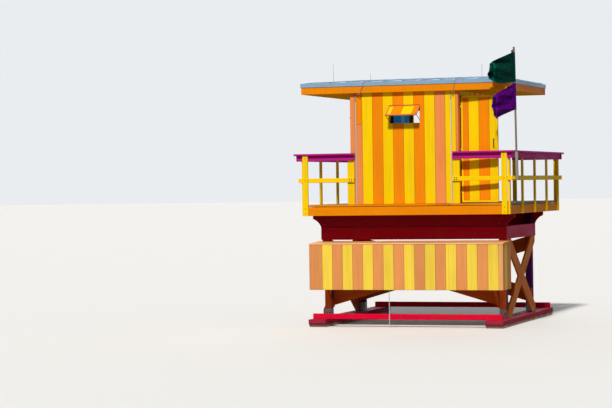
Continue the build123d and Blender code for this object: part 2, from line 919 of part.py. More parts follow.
with BuildPart() as flagpole:
    pole_low_z = sleeve_low_z + sleeve_wall
    with BuildSketch(Plane(origin=pole_point(pole_low_z), z_dir=pole_axis)):
        Circle(pole_r)
    extrude(amount=pole_top_z - pole_low_z)
    fillet(flagpole.edges().sort_by(Axis.Z)[-1], pole_r / 2)
finish(flagpole, "flagpole")

with BuildPart() as pole_sleeve:
    with BuildSketch(Plane(origin=pole_point(sleeve_low_z), z_dir=pole_axis)):
        Circle(sleeve_r)
    extrude(amount=sleeve_h)
    with BuildSketch(Plane(origin=pole_point(pole_low_z), z_dir=pole_axis)):
        Circle(pole_r + sleeve_fit)
    extrude(amount=sleeve_h, mode=Mode.SUBTRACT)
finish(pole_sleeve, "pole_sleeve")

block_low_z = mid_low_z + (rail_w - board_t) / 2
block_top_z = block_low_z + board_t
with BuildPart() as pole_block:
    block_end_x = pole_point(block_top_z)[0] - sleeve_r
    box_between(
        (rail_outer, pole_y - rail_w / 2, block_low_z),
        (block_end_x, pole_y + rail_w / 2, block_top_z),
    )
finish(pole_block, "pole_block")


def flag_solid(top_z):
    """A thin waving sheet that flies from the pole, two waves long."""
    fly = math.radians(flag_angle)
    plane = Plane(
        origin=pole_point(top_z - flag_h),
        x_dir=(-math.cos(fly), -math.sin(fly), -math.cos(fly) * lean_rate),
        z_dir=pole_axis,
    )
    shares = [index / flag_stations for index in range(flag_stations + 1)]
    middle = [
        (pole_r + share * flag_w, flag_wave * share * math.sin(2 * math.pi * share))
        for share in shares
    ]
    with BuildSketch(plane) as sheet:
        with BuildLine():
            near = Spline(*[(x, y - flag_t / 2) for x, y in middle])
            far = Spline(*[(x, y + flag_t / 2) for x, y in middle])
            Line(near @ 0, far @ 0)
            Line(near @ 1, far @ 1)
        make_face()
    extrude(sheet.sketch, amount=flag_h)


for flag_node, flag_drop in (("green_flag", green_drop), ("purple_flag", purple_drop)):
    with BuildPart() as flag:
        flag_solid(pole_top_z - flag_drop)
    finish(flag, flag_node)
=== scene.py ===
import json
import math
from itertools import product

import bmesh
import bpy
import numpy as np
from mathutils import Matrix, Vector


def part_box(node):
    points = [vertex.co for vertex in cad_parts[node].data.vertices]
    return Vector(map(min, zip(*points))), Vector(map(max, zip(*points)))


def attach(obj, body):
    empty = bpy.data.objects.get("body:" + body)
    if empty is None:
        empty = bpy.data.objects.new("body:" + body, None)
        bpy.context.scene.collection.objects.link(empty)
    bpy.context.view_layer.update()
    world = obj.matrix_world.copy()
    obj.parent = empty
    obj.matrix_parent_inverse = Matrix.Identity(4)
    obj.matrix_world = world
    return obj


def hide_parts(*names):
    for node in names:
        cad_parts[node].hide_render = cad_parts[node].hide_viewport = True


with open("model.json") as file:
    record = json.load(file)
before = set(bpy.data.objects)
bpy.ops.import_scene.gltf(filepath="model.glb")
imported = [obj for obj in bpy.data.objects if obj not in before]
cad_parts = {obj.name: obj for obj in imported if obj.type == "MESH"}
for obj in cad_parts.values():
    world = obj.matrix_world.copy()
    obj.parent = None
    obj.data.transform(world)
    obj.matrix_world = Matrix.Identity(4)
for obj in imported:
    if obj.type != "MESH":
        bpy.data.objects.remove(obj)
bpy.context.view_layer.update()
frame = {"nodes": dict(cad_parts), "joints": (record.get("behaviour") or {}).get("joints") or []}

# The lookout's finish. Metres, X along the front, Y back towards the sea, Z up.
chance = np.random.default_rng(1908)
TURN = 2 * math.pi
RIGHT, LEFT, BACK, FORTH, UP = (1, 0, 0), (-1, 0, 0), (0, 1, 0), (0, -1, 0), (0, 0, 1)


def paint(red, green, blue):
    """A paint named by its 0-255 screen values, turned to linear light."""
    level = np.array([red, green, blue]) / 255
    return np.where(level <= 0.04045, level / 12.92, ((level + 0.055) / 1.055) ** 2.4)


YELLOW = paint(252, 206, 6)
ORANGE = paint(246, 138, 8)
SALMON = paint(236, 140, 74)
FASCIA = paint(240, 138, 4)
PALE_YELLOW = paint(250, 214, 74)
PALE_SALMON = paint(233, 152, 88)
LID_ORANGE = paint(250, 162, 98)
LID_EDGE = paint(255, 206, 150)
MAGENTA = paint(190, 30, 134)
CRIMSON = paint(226, 6, 52)
# The girders' two reds are copies of the crimson: one darkened as painted shade under the deck, one tinted as
# the crimson looks in sky-lit shade
GIRDER_CRIMSON_SHADED = paint(172, 14, 40)
GIRDER_CRIMSON_SKYLIT_SHADE = paint(190, 28, 78)
PURPLE = paint(98, 34, 110)
BRACE = paint(212, 98, 34)
LEG_FRONT = paint(244, 122, 48)
BRACE_SIDE = paint(236, 130, 52)
SKID_ROSE = paint(166, 40, 62)
SOFFIT = paint(238, 178, 20)
LINING = paint(92, 112, 130)
DECK_GREY = paint(142, 148, 150)
BARE_WOOD = paint(122, 98, 74)
PEACH = paint(246, 172, 112)
POLE_WOOD = paint(130, 104, 84)
PIPE_GREY = paint(190, 194, 202)
LEAD_BROWN = paint(176, 140, 118)
RUST = paint(104, 46, 26)
FLAG_GREEN = paint(0, 46, 38)
FLAG_VIOLET = paint(72, 0, 98)


# Parts of a material


def feed(socket, value):
    """Joins the socket to another node's output, or sets what it holds."""
    if isinstance(value, bpy.types.NodeSocket):
        socket.id_data.links.new(value, socket)
    else:
        socket.default_value = (*value, 1) if socket.type == "RGBA" else value


def new_node(tree, kind, **settings):
    """A node in the tree, with its settings."""
    node = tree.nodes.new(kind)
    for key, value in settings.items():
        setattr(node, key, value)
    return node


def add(kind, values, **settings):
    """A node beside those that feed it. `values` says what its inputs hold or are joined to."""
    source = next(value for value in values.values() if isinstance(value, bpy.types.NodeSocket))
    node = new_node(source.id_data, kind, **settings)
    for key, value in values.items():
        feed(node.inputs[key], value)
    return node


def arith(operation, a, b=0.0, c=0.0, clamp=False):
    """The output of one Math node."""
    return add("ShaderNodeMath", {0: a, 1: b, 2: c}, operation=operation, use_clamp=clamp).outputs[0]


def times(a, b, clamp=False):
    """The product of two values."""
    return arith("MULTIPLY", a, b, clamp=clamp)


def scaled(a, factor, more, clamp=False):
    """A value times a factor, and something more."""
    return arith("MULTIPLY_ADD", a, factor, more, clamp)


def weighed(a, share_a, b, share_b):
    """The sum of two values, each times its share."""
    return scaled(a, share_a, times(b, share_b))


def stretch(vector, factors):
    """The vector with each of its parts multiplied."""
    return add("ShaderNodeVectorMath", {0: vector, 1: factors}, operation="MULTIPLY").outputs[0]


def part_of(vector, axis):
    """One part of a vector: 0 is X, 1 is Y and 2 is Z."""
    return add("ShaderNodeSeparateXYZ", {0: vector}).outputs[axis]


def cloudy(vector, scale=1.0, detail=4.0, roughness=0.55, distortion=0.0):
    """The output of a noise texture."""
    return add("ShaderNodeTexNoise", {"Vector": vector, "Scale": scale, "Detail": detail,
                                      "Roughness": roughness, "Distortion": distortion}).outputs[0]


def span(value, low, high, out_low=0.0, out_high=1.0):
    """The value eased from one range to another, and held at its ends."""
    return add("ShaderNodeMapRange", {0: value, 1: low, 2: high, 3: out_low, 4: out_high},
               interpolation_type="SMOOTHSTEP").outputs[0]


def blend_colour(factor, a, b, mode="MIX"):
    """The output of a colour mix."""
    return add("ShaderNodeMix", {0: factor, 6: a, 7: b}, data_type="RGBA", blend_type=mode).outputs[2]


def darkened(colour, shade):
    """The colour times a shade from 0 to 1."""
    grey = add("ShaderNodeCombineColor", {0: shade, 1: shade, 2: shade}).outputs[0]
    return blend_colour(1.0, colour, grey, "MULTIPLY")


def own(tree, name, output):
    """What the mesh holds under a name."""
    return new_node(tree, "ShaderNodeAttribute", attribute_name=name).outputs[output]


def object_point(tree):
    """The place on the object, in metres."""
    return new_node(tree, "ShaderNodeTexCoord").outputs["Object"]


def start_material(name):
    """An empty material with its shader joined to its output."""
    material = bpy.data.materials.new(name)
    material.use_nodes = True
    return material, material.node_tree, material.node_tree.nodes["Principled BSDF"]


def finish_surface(shader, height, strength, distance, **sockets):
    """Joins the shader's inputs, named with _ for a space, and a height through a bump."""
    for name, value in sockets.items():
        feed(shader.inputs[name.replace("_", " ")], value)
    bump = add("ShaderNodeBump", {"Height": height, "Strength": strength, "Distance": distance})
    feed(shader.inputs["Normal"], bump.outputs[0])


# Effects that several finishes share


def effect(name, takes, gives, build):
    """A node group with named sockets. `build` gets what goes in and returns what comes out."""
    tree = bpy.data.node_groups.new(name, "ShaderNodeTree")
    for socket, value in takes.items():
        kind = "NodeSocketVector" if value is None else "NodeSocketFloat"
        made = tree.interface.new_socket(socket, in_out="INPUT", socket_type=kind)
        if value is not None:
            made.default_value = value
    for socket in gives:
        tree.interface.new_socket(socket, in_out="OUTPUT", socket_type="NodeSocketFloat")
    results = build(tree.nodes.new("NodeGroupInput").outputs)
    sink = tree.nodes.new("NodeGroupOutput")
    for socket, result in zip(gives, results):
        feed(sink.inputs[socket], result)
    return tree


def use(group, **values):
    """A group placed in a material, with its inputs set or joined."""
    return add("ShaderNodeGroup", values, node_tree=group).outputs


def build_grain(given):
    """Fine fibres and broad growth bands, both long along the board."""
    fibre = cloudy(stretch(given["Along"], (1.8, 60, 60)), detail=5, distortion=0.3)
    bands = cloudy(stretch(given["Along"], (0.6, 14, 14)), detail=3, distortion=1.4)
    return weighed(bands, 0.5, fibre, 0.5), bands, fibre


def build_wear(given):
    """Where the paint is gone: small chips in broad patches, and sooner on the edges."""
    chips = cloudy(stretch(given["Along"], (14, 46, 46)), detail=6, roughness=0.65)
    patches = cloudy(stretch(given["Along"], (1.1, 3, 3)), detail=2)
    level = scaled(given["Edge"], 0.1, weighed(patches, 0.45, chips, 0.55))
    bare_from = scaled(given["Amount"], -0.3, 0.74)
    return times(arith("SUBTRACT", level, bare_from), 22.0, clamp=True), patches


def build_streaks(given):
    """Runs of rain down a wall: noise that is narrow sideways and long in Z."""
    fine = cloudy(stretch(given["Point"], (26, 26, 0.8)), detail=4, roughness=0.6)
    broad = cloudy(stretch(given["Point"], (1.3, 1.3, 0.5)), detail=2)
    return (span(weighed(broad, 0.5, fine, 0.6), 0.5, 0.72),)


def build_dust(given):
    """Pale sand that clings low down and thins out with height."""
    specks = cloudy(given["Point"], scale=55, detail=6, roughness=0.7)
    drift = cloudy(given["Point"], scale=3.5, detail=3)
    share = arith("DIVIDE", part_of(given["Point"], 2), given["Reach"])
    near_ground = arith("SUBTRACT", 1.0, share, clamp=True)
    level = times(near_ground, scaled(drift, 0.8, specks))
    return (span(level, 0.35, 0.95),)


def build_weave(given):
    """Threads that cross: the higher of two sets of bands, one each way over the cloth."""
    bands = [arith("SINE", times(part_of(given["Along"], axis), given["Threads"])) for axis in (0, 1)]
    return arith("MAXIMUM", *bands), cloudy(given["Along"], scale=22, detail=4)


GRAIN = effect("Board Grain", {"Along": None}, ["Height", "Bands", "Fibre"], build_grain)
WEAR = effect("Paint Wear", {"Along": None, "Edge": 0.0, "Amount": 0.1}, ["Gone", "Patches"], build_wear)
STREAKS = effect("Rain Streaks", {"Point": None}, ["Mask"], build_streaks)
DUST = effect("Sand Dust", {"Point": None, "Reach": 1.0}, ["Mask"], build_dust)
WEAVE = effect("Flag Weave", {"Along": None, "Threads": 3000.0}, ["Height", "Puckers"], build_weave)


# Finishes


def painted_wood(name, roughness=0.5, wear=0.1, streaks=0.1, fade=0.08, dust=0.0, relief=0.35,
                 gloss_level=0.04, seam_and_shade=None):
    """Paint on boards: the board's own colour, grain that shows through, chips, rain and sand.

    The last argument is the height of a seam, drawn as a dark line, and how far the paint
    above it darkens as painted shade under the deck.
    """
    material, tree, shader = start_material(name)
    point, along = object_point(tree), own(tree, "grain", "Vector")
    grain = use(GRAIN, Along=along)
    worn = use(WEAR, Along=along, Edge=own(tree, "wear", "Fac"), Amount=wear)
    rain = use(STREAKS, Point=point)
    shade = span(grain["Bands"], 0.3, 0.7, 1 - fade, 1.0)
    shade = times(shade, span(worn["Patches"], 0.25, 0.75, 1.0, 1 - fade * 0.6))
    colour = darkened(own(tree, "paint", "Color"), shade)
    colour = blend_colour(times(rain["Mask"], streaks), colour, paint(112, 84, 60))
    wood = blend_colour(grain["Fibre"], BARE_WOOD * 0.7, BARE_WOOD * 1.25)
    colour = blend_colour(worn["Gone"], colour, wood)
    if dust:
        sand = use(DUST, Point=point, Reach=dust)
        colour = blend_colour(sand["Mask"], colour, paint(206, 194, 176))
    if seam_and_shade:
        level = part_of(point, 2)
        seam = times(arith("COMPARE", level, seam_and_shade[0], 0.006), 0.8)
        colour = blend_colour(seam, colour, paint(24, 4, 8))
        # Painted shade: over the seam the paint darkens towards a deep red, as in the shadow under the deck
        above = span(level, seam_and_shade[0] - 0.01, seam_and_shade[0] + 0.01, 0.0, seam_and_shade[1])
        colour = blend_colour(above, colour, paint(40, 4, 10))
    gloss = span(worn["Patches"], 0.2, 0.8, roughness - 0.06, roughness + 0.1)
    gloss = scaled(worn["Gone"], 0.3, gloss, clamp=True)
    height = scaled(worn["Gone"], -0.6, grain["Height"])
    finish_surface(shader, height, relief, 0.0015, Base_Color=colour, Roughness=gloss,
                   Specular_IOR_Level=gloss_level)
    return material


def metal(name, colour, roughness, metallic, spangle=0.1, stain=paint(120, 96, 78), stained=0.2, scale=40,
          above=None):
    """Sheet or bar metal: cloudy reflections, spangles, and dull stains.

    `above` is a height and the colour of what lies over it, such as a bare lead.
    """
    material, tree, shader = start_material(name)
    point = object_point(tree)
    cells = add("ShaderNodeTexVoronoi", {"Vector": point, "Scale": scale * 3}).outputs["Color"]
    value = add("ShaderNodeSeparateColor", {0: cells}).outputs[0]
    cloud = cloudy(point, scale=scale * 0.12, detail=5)
    base = darkened(colour, scaled(value, spangle, 1 - spangle * 0.5))
    mask = times(span(cloud, 0.5, 0.7), stained)
    if above:
        over = arith("GREATER_THAN", part_of(point, 2), above[0])
        base = blend_colour(over, base, above[1])
    finish_surface(shader, cloudy(point, scale=scale * 5, detail=3), 0.12, 0.0006,
                   Base_Color=blend_colour(mask, base, stain),
                   Roughness=span(cloud, 0.3, 0.7, roughness - 0.08, roughness + 0.12),
                   Metallic=scaled(mask, -metallic, metallic, clamp=True))
    return material


def bare_wood(name, colour):
    """Unpainted round timber: fibres up its length, and grey weathering in patches."""
    material, tree, shader = start_material(name)
    point = object_point(tree)
    fibre = cloudy(stretch(point, (160, 160, 4)), detail=4)
    weathered = cloudy(stretch(point, (6, 6, 1.4)), detail=3)
    wood = blend_colour(fibre, colour * 0.72, colour * 1.2)
    wood = blend_colour(span(weathered, 0.5, 0.75, 0, 0.6), wood, paint(128, 120, 112))
    finish_surface(shader, fibre, 0.3, 0.001, Base_Color=wood,
                   Roughness=span(weathered, 0.3, 0.7, 0.58, 0.76))
    return material


def dull_plastic(name, colour):
    """Sun-bleached plastic with scuffs round it."""
    material, tree, shader = start_material(name)
    point = object_point(tree)
    scuff = cloudy(stretch(point, (24, 24, 90)), detail=4)
    bleached = cloudy(stretch(point, (5, 5, 2)), detail=2)
    tone = blend_colour(span(bleached, 0.35, 0.7), colour * 0.8, colour * 1.08)
    tone = blend_colour(span(scuff, 0.6, 0.75, 0, 0.35), tone, colour * 0.45)
    finish_surface(shader, scuff, 0.1, 0.0006, Base_Color=tone,
                   Roughness=span(scuff, 0.3, 0.7, 0.4, 0.6))
    return material


def tinted_glass(name, tint):
    """Clear glass with a tint, and salt haze that dulls it in patches."""
    material, tree, shader = start_material(name)
    haze = cloudy(stretch(object_point(tree), (7, 7, 4)), detail=5)
    feed(shader.inputs["Base Color"], blend_colour(haze, tint * 0.9, tint * 1.1))
    feed(shader.inputs["Roughness"], span(haze, 0.45, 0.8, 0.02, 0.16))
    shader.inputs["Transmission Weight"].default_value = 1.0
    shader.inputs["IOR"].default_value = 1.45
    return material


def flag_cloth(name, colour):
    """Light nylon: a fine weave, small puckers, and painted shade and painted highlights in folds near the
    fly.
    """
    material, tree, shader = start_material(name)
    along = own(tree, "grain", "Vector")
    woven = use(WEAVE, Along=along)
    cloth = blend_colour(span(woven["Puckers"], 0.3, 0.75), colour * 0.6, colour * 1.5)
    # Near the fly, folds in noise get painted shade, then painted highlights at about four times the cloth's
    # colour
    folds = cloudy(stretch(along, (11, 4, 1)), detail=2)
    near_fly = span(part_of(along, 0), 0.32, 0.56)
    for fold_end, tone in ((0.42, 0.45), (0.6, 4.2)):
        mask = times(near_fly, span(folds, 0.5, fold_end))
        cloth = blend_colour(mask, cloth, colour * tone)
    height = scaled(woven["Height"], 0.15, woven["Puckers"])
    finish_surface(shader, height, 0.35, 0.004, Base_Color=cloth,
                   Roughness=span(woven["Puckers"], 0.3, 0.7, 0.42, 0.6), Specular_IOR_Level=0.05)
    return material


# Heights: the seams over which the girders' and legs' paint darkens as painted shade under the deck, and
# where the conduits turn to bare leads
GIRDER_SHADE_SEAM, LEG_SHADE_SEAM, LEADS_FROM = 2.012, 2.005, 4.55
PAINTED = painted_wood("Painted Siding", wear=0.05, streaks=0.09)
TRIM = painted_wood("Painted Trim", wear=0.08)
UNDERSIDE = painted_wood("Painted Soffit", 0.9, wear=0.04, streaks=0.05, fade=0.1, gloss_level=0.0)
CAP_PAINT = painted_wood("Painted Caps", 0.46, wear=0.12, fade=0.12)
BOX_PAINT = painted_wood("Painted Box", wear=0.08, streaks=0.13, fade=0.1)
GIRDER_PAINT = painted_wood("Painted Girders", wear=0.05, streaks=0.08, fade=0.14, seam_and_shade=(GIRDER_SHADE_SEAM, 0.3))
BASE_PAINT = painted_wood("Painted Base", 0.55, streaks=0.12, fade=0.16, dust=0.5)
LEG_PAINT = painted_wood("Painted Legs", 0.55, streaks=0.12, fade=0.16, dust=0.5, seam_and_shade=(LEG_SHADE_SEAM, 0.85))
SKID_PAINT = painted_wood("Scuffed Skids", 0.6, wear=0.2, streaks=0.08, fade=0.16, dust=0.12)
DECKING = painted_wood("Walked Deck", 0.7, wear=0.5, fade=0.2, relief=0.6)
ROUGH_TIMBER = painted_wood("Raw Timber", 0.8, wear=0.2, fade=0.3, relief=0.6)
ROOF_METAL = metal("Roof Sheet", paint(132, 164, 190), 0.5, 0.25, stained=0.3, scale=12)
GALVANISED = metal("Galvanised Steel", paint(140, 146, 150), 0.46, 0.6, spangle=0.2)
CONDUIT = metal("Conduit Pipe", PIPE_GREY, 0.5, 0.15, spangle=0.04)
LEADS = metal("Conduits and Leads", PIPE_GREY, 0.5, 0.15, spangle=0.04, above=(LEADS_FROM, LEAD_BROWN))
DARK_STEEL = metal("Dark Steel", paint(72, 62, 58), 0.5, 0.6, stained=0.5, stain=paint(96, 58, 38))
RUSTED = metal("Rusted Steel", paint(132, 74, 44), 0.6, 0.4, stained=0.8, stain=RUST)
PAINTED_BOLTS = metal("Painted Bolts", paint(112, 14, 28), 0.5, 0.1, spangle=0.04, stain=RUST, stained=0.3)
WOODEN_POLE = bare_wood("Wooden Pole", POLE_WOOD)
SLEEVE_PLASTIC = dull_plastic("Sleeve Plastic", paint(150, 145, 132))
DARK_TIES = dull_plastic("Dark Ties", paint(44, 40, 44))
GLASS = tinted_glass("Lookout Glass", paint(6, 57, 83))
GREEN_CLOTH = flag_cloth("Green Cloth", FLAG_GREEN)
VIOLET_CLOTH = flag_cloth("Violet Cloth", FLAG_VIOLET)


# Meshes

nail_spots = {"tower": [], "door": []}


def lay_attribute(mesh, name, kind, domain, values):
    """Stores one value per point, face or corner of the mesh under a name."""
    layer = mesh.attributes.new(name, kind, domain)
    key = {"FLOAT": "value", "FLOAT_VECTOR": "vector", "FLOAT_COLOR": "color"}[kind]
    layer.data.foreach_set(key, np.asarray(values, np.float32).ravel())


def lay_finish(mesh, colours, grain, wear, paint_on="POINT", wear_on="FACE"):
    """Gives a mesh what painted_wood reads: its paint, its place in the grain, and its edges."""
    opaque = np.hstack([colours, np.ones((len(colours), 1))])
    lay_attribute(mesh, "paint", "FLOAT_COLOR", paint_on, opaque)
    lay_attribute(mesh, "grain", "FLOAT_VECTOR", "POINT", grain)
    lay_attribute(mesh, "wear", "FLOAT", wear_on, wear)


def stand(name, data):
    """An object in the scene, at the origin, that holds the mesh, lamp or camera."""
    made = bpy.data.objects.new(name, data)
    bpy.context.scene.collection.objects.link(made)
    return made


def place(mesh, name, material, body="tower", stands_for=()):
    """Makes the mesh a piece that rides on its body, with its material."""
    piece = stand(name, mesh)
    piece.data.materials.append(material)
    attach(piece, body)
    if stands_for:
        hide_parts(*stands_for)
    return piece


def mesh_of(name, points, faces, smooth=False):
    """A mesh from an array of points and a list of faces."""
    mesh = bpy.data.meshes.new(name)
    mesh.from_pydata(points.reshape(-1, 3).tolist(), [], faces)
    mesh.polygons.foreach_set("use_smooth", [smooth] * len(mesh.polygons))
    mesh.update()
    return mesh


def grid_faces(rows, columns, closed=False, ring=False):
    """Quads of a grid whose points run along the columns first, joined round each way if asked."""
    row, column = np.meshgrid(np.arange(rows - (not ring)), np.arange(columns - (not closed)), indexing="ij")
    below, beside = (row + 1) % rows * columns, (column + 1) % columns
    row = row * columns
    return np.stack([row + column, row + beside, below + beside, below + column], -1).reshape(-1, 4)


def repeated(faces, count, size):
    """The faces of so many copies of a form that has `size` points."""
    return (faces[None] + np.arange(count)[:, None, None] * size).reshape(-1, faces.shape[1]).tolist()


def round_turn(count):
    """So many angles that share out a full turn."""
    return np.linspace(0, TURN, count, endpoint=False)


def rows_of(*parts):
    """Rows of points from their x, y and z, each an array or one number."""
    return np.stack(np.broadcast_arrays(*parts), -1)


def eased_block():
    """The point signs and faces of a block with flattened edges, and which faces are edges.

    Each of the eight corners has three points. The point of an axis lies on the face
    across that axis, and one ease in from the block's two other faces.
    """
    corners = np.array(list(product((-1.0, 1.0), repeat=3)))
    signs, across = np.repeat(corners, 3, axis=0), np.tile(np.eye(3), (8, 1))
    faces = []
    for axis in range(3):
        one, other = (a for a in range(3) if a != axis)
        for sign in (-1, 1):
            faces.append(np.flatnonzero(corners[:, axis] == sign)[[0, 1, 3, 2]] * 3 + axis)
        for first, second in product((-1, 1), repeat=2):
            beside = (corners[:, one] == first) & (corners[:, other] == second)
            start, end = np.flatnonzero(beside) * 3
            faces.append(np.array([start + one, end + one, end + other, start + other]))
    faces += [np.array([0, 1, 2]) + 3 * corner for corner in range(8)]
    sample = signs * (0.8 + 0.2 * across)
    for index, face in enumerate(faces):
        a, b, c = sample[face[:3]]
        if np.cross(b - a, c - b) @ sample[face].mean(0) < 0:
            faces[index] = face[::-1]
    edges = [float(np.ptp(face % 3) > 0) for face in faces]
    return signs, across, faces, edges


BLOCK_SIGNS, BLOCK_ACROSS, BLOCK_FACES, BLOCK_EDGES = eased_block()


def boards(name, lows, highs, colours, material=TRIM, slot="yellow", ease=0.003, turns=None, stands_for=(),
           vary=0.05):
    """Separate eased boards between opposite corners.

    Each point is the block's centre plus its sign times the half size less the ease, and
    the ease added back across its own face. Turns are rotation matrices about each centre.
    """
    lows, highs = np.asarray(lows, float), np.asarray(highs, float)
    count, size = len(lows), len(BLOCK_SIGNS)
    middle, half = (lows + highs) / 2, (highs - lows) / 2
    local = BLOCK_SIGNS * (half[:, None] - ease + ease * BLOCK_ACROSS)
    along = np.argsort(-half, axis=1)
    grain = np.take_along_axis(local, along[:, None, :].repeat(size, 1), axis=2)
    grain = grain + chance.uniform(-9, 9, (count, 1, 3))
    if turns is not None:
        local = np.einsum("nij,nkj->nki", np.asarray(turns, float), local)
    faces = [(face + size * n).tolist() for n in range(count) for face in BLOCK_FACES]
    mesh = mesh_of(name, local + middle[:, None], faces)
    tint = np.broadcast_to(colours, (count, 3)) * chance.uniform(1 - vary, 1 + vary, (count, 1))
    lay_finish(mesh, np.repeat(tint, size, axis=0), grain, np.tile(BLOCK_EDGES, count))
    return place(mesh, name, material, stands_for=stands_for)


def bars(name, starts, ends, width, height, colours, material, slot, **more):
    """Boards laid from start to end, level across their width, as turned blocks."""
    starts, ends = np.asarray(starts, float), np.asarray(ends, float)
    way = ends - starts
    length = np.linalg.norm(way, axis=1, keepdims=True)
    way = way / length
    side = np.cross(np.broadcast_to(UP, way.shape), way)
    side /= np.linalg.norm(side, axis=1, keepdims=True)
    half = np.hstack([length, np.full_like(length, width), np.full_like(length, height)]) / 2
    middle = (starts + ends) / 2
    turns = np.stack([way, side, np.cross(way, side)], axis=-1)
    return boards(name, middle - half, middle + half, colours, material, slot, turns=turns, **more)


def read(items, key, width=1, kind=float):
    """A value of each item in a mesh's list, as the rows of an array."""
    values = np.empty(len(items) * width, kind)
    items.foreach_get(key, values)
    return values.reshape(-1, width) if width > 1 else values


def solid_labels(edges, count):
    """A label for each point, the same for all points that edges join."""
    label = np.arange(count)
    while True:
        low = np.minimum(label[edges[:, 0]], label[edges[:, 1]])
        following = label.copy()
        np.minimum.at(following, edges[:, 0], low)
        np.minimum.at(following, edges[:, 1], low)
        if np.array_equal(following, label):
            return label
        label = following


def dressed(node, colour, material=TRIM, ease=0.004, body="tower", vary=0.05):
    """The node's own form with its edges eased, each solid with grain along its length.

    The grain follows the longest principal direction of the solid's points. The colour is
    one paint, or a function of the faces' middles and normals that returns paints.
    """
    form = bmesh.new()
    form.from_mesh(frame["nodes"][node].data)
    bmesh.ops.remove_doubles(form, verts=form.verts, dist=1e-5)
    bmesh.ops.dissolve_limit(form, angle_limit=math.radians(1), verts=form.verts, edges=form.edges)
    sharp = [e for e in form.edges if len(e.link_faces) == 2 and e.calc_face_angle(0) > 0.35]
    eased = bmesh.ops.bevel(form, geom=sharp, offset=ease, segments=1, profile=0.5,
                            affect="EDGES", clamp_overlap=True)
    worn = set(eased["faces"])
    wear = [float(face in worn) for face in form.faces]
    mesh = bpy.data.meshes.new(f"{node}_dressed")
    form.to_mesh(mesh)
    form.free()
    points = read(mesh.vertices, "co", 3)
    label = solid_labels(read(mesh.edges, "vertices", 2, int), len(points))
    grain, tint = np.empty_like(points), np.empty(len(points))
    for solid in np.unique(label):
        mine = label == solid
        offset = points[mine] - points[mine].mean(0)
        axes = np.linalg.svd(offset, full_matrices=False)[2]
        grain[mine] = offset @ axes.T + chance.uniform(-9, 9, 3)
        tint[mine] = chance.uniform(1 - vary, 1 + vary)
    if callable(colour):
        colour = colour(read(mesh.polygons, "center", 3), read(mesh.polygons, "normal", 3))
    sizes = read(mesh.polygons, "loop_total", kind=int)
    paints = np.repeat(np.broadcast_to(colour, (len(sizes), 3)), sizes, axis=0)
    corner_point = read(mesh.loops, "vertex_index", kind=int)
    lay_finish(mesh, paints * tint[corner_point, None], grain, wear, paint_on="CORNER")
    return place(mesh, f"{node}_dressed", material, body, (node,))


def outside(gaps, u, v):
    """Which points of a wall lie in none of its gaps, each given as u from, u to, v from, v to."""
    clear = np.ones(len(u), bool)
    for u0, u1, v0, v1 in gaps:
        clear &= ~((u > u0) & (u < u1) & (v > v0) & (v < v1))
    return clear


def nail_rows(u0, u1, v0, v1):
    """Two rows of nails beside a board's long edges, as places across the wall and up it."""
    inset, end, pitch = 0.024, 0.03, 0.55
    upright = v1 - v0 > u1 - u0
    (start, stop), edges = ((v0, v1), (u0, u1)) if upright else ((u0, u1), (v0, v1))
    row = np.linspace(start + end, stop - end, max(2, round((stop - start) / pitch)))
    lines = [np.full_like(row, line) for line in (edges[0] + inset, edges[1] - inset)]
    return [(line, row) if upright else (row, line) for line in lines]


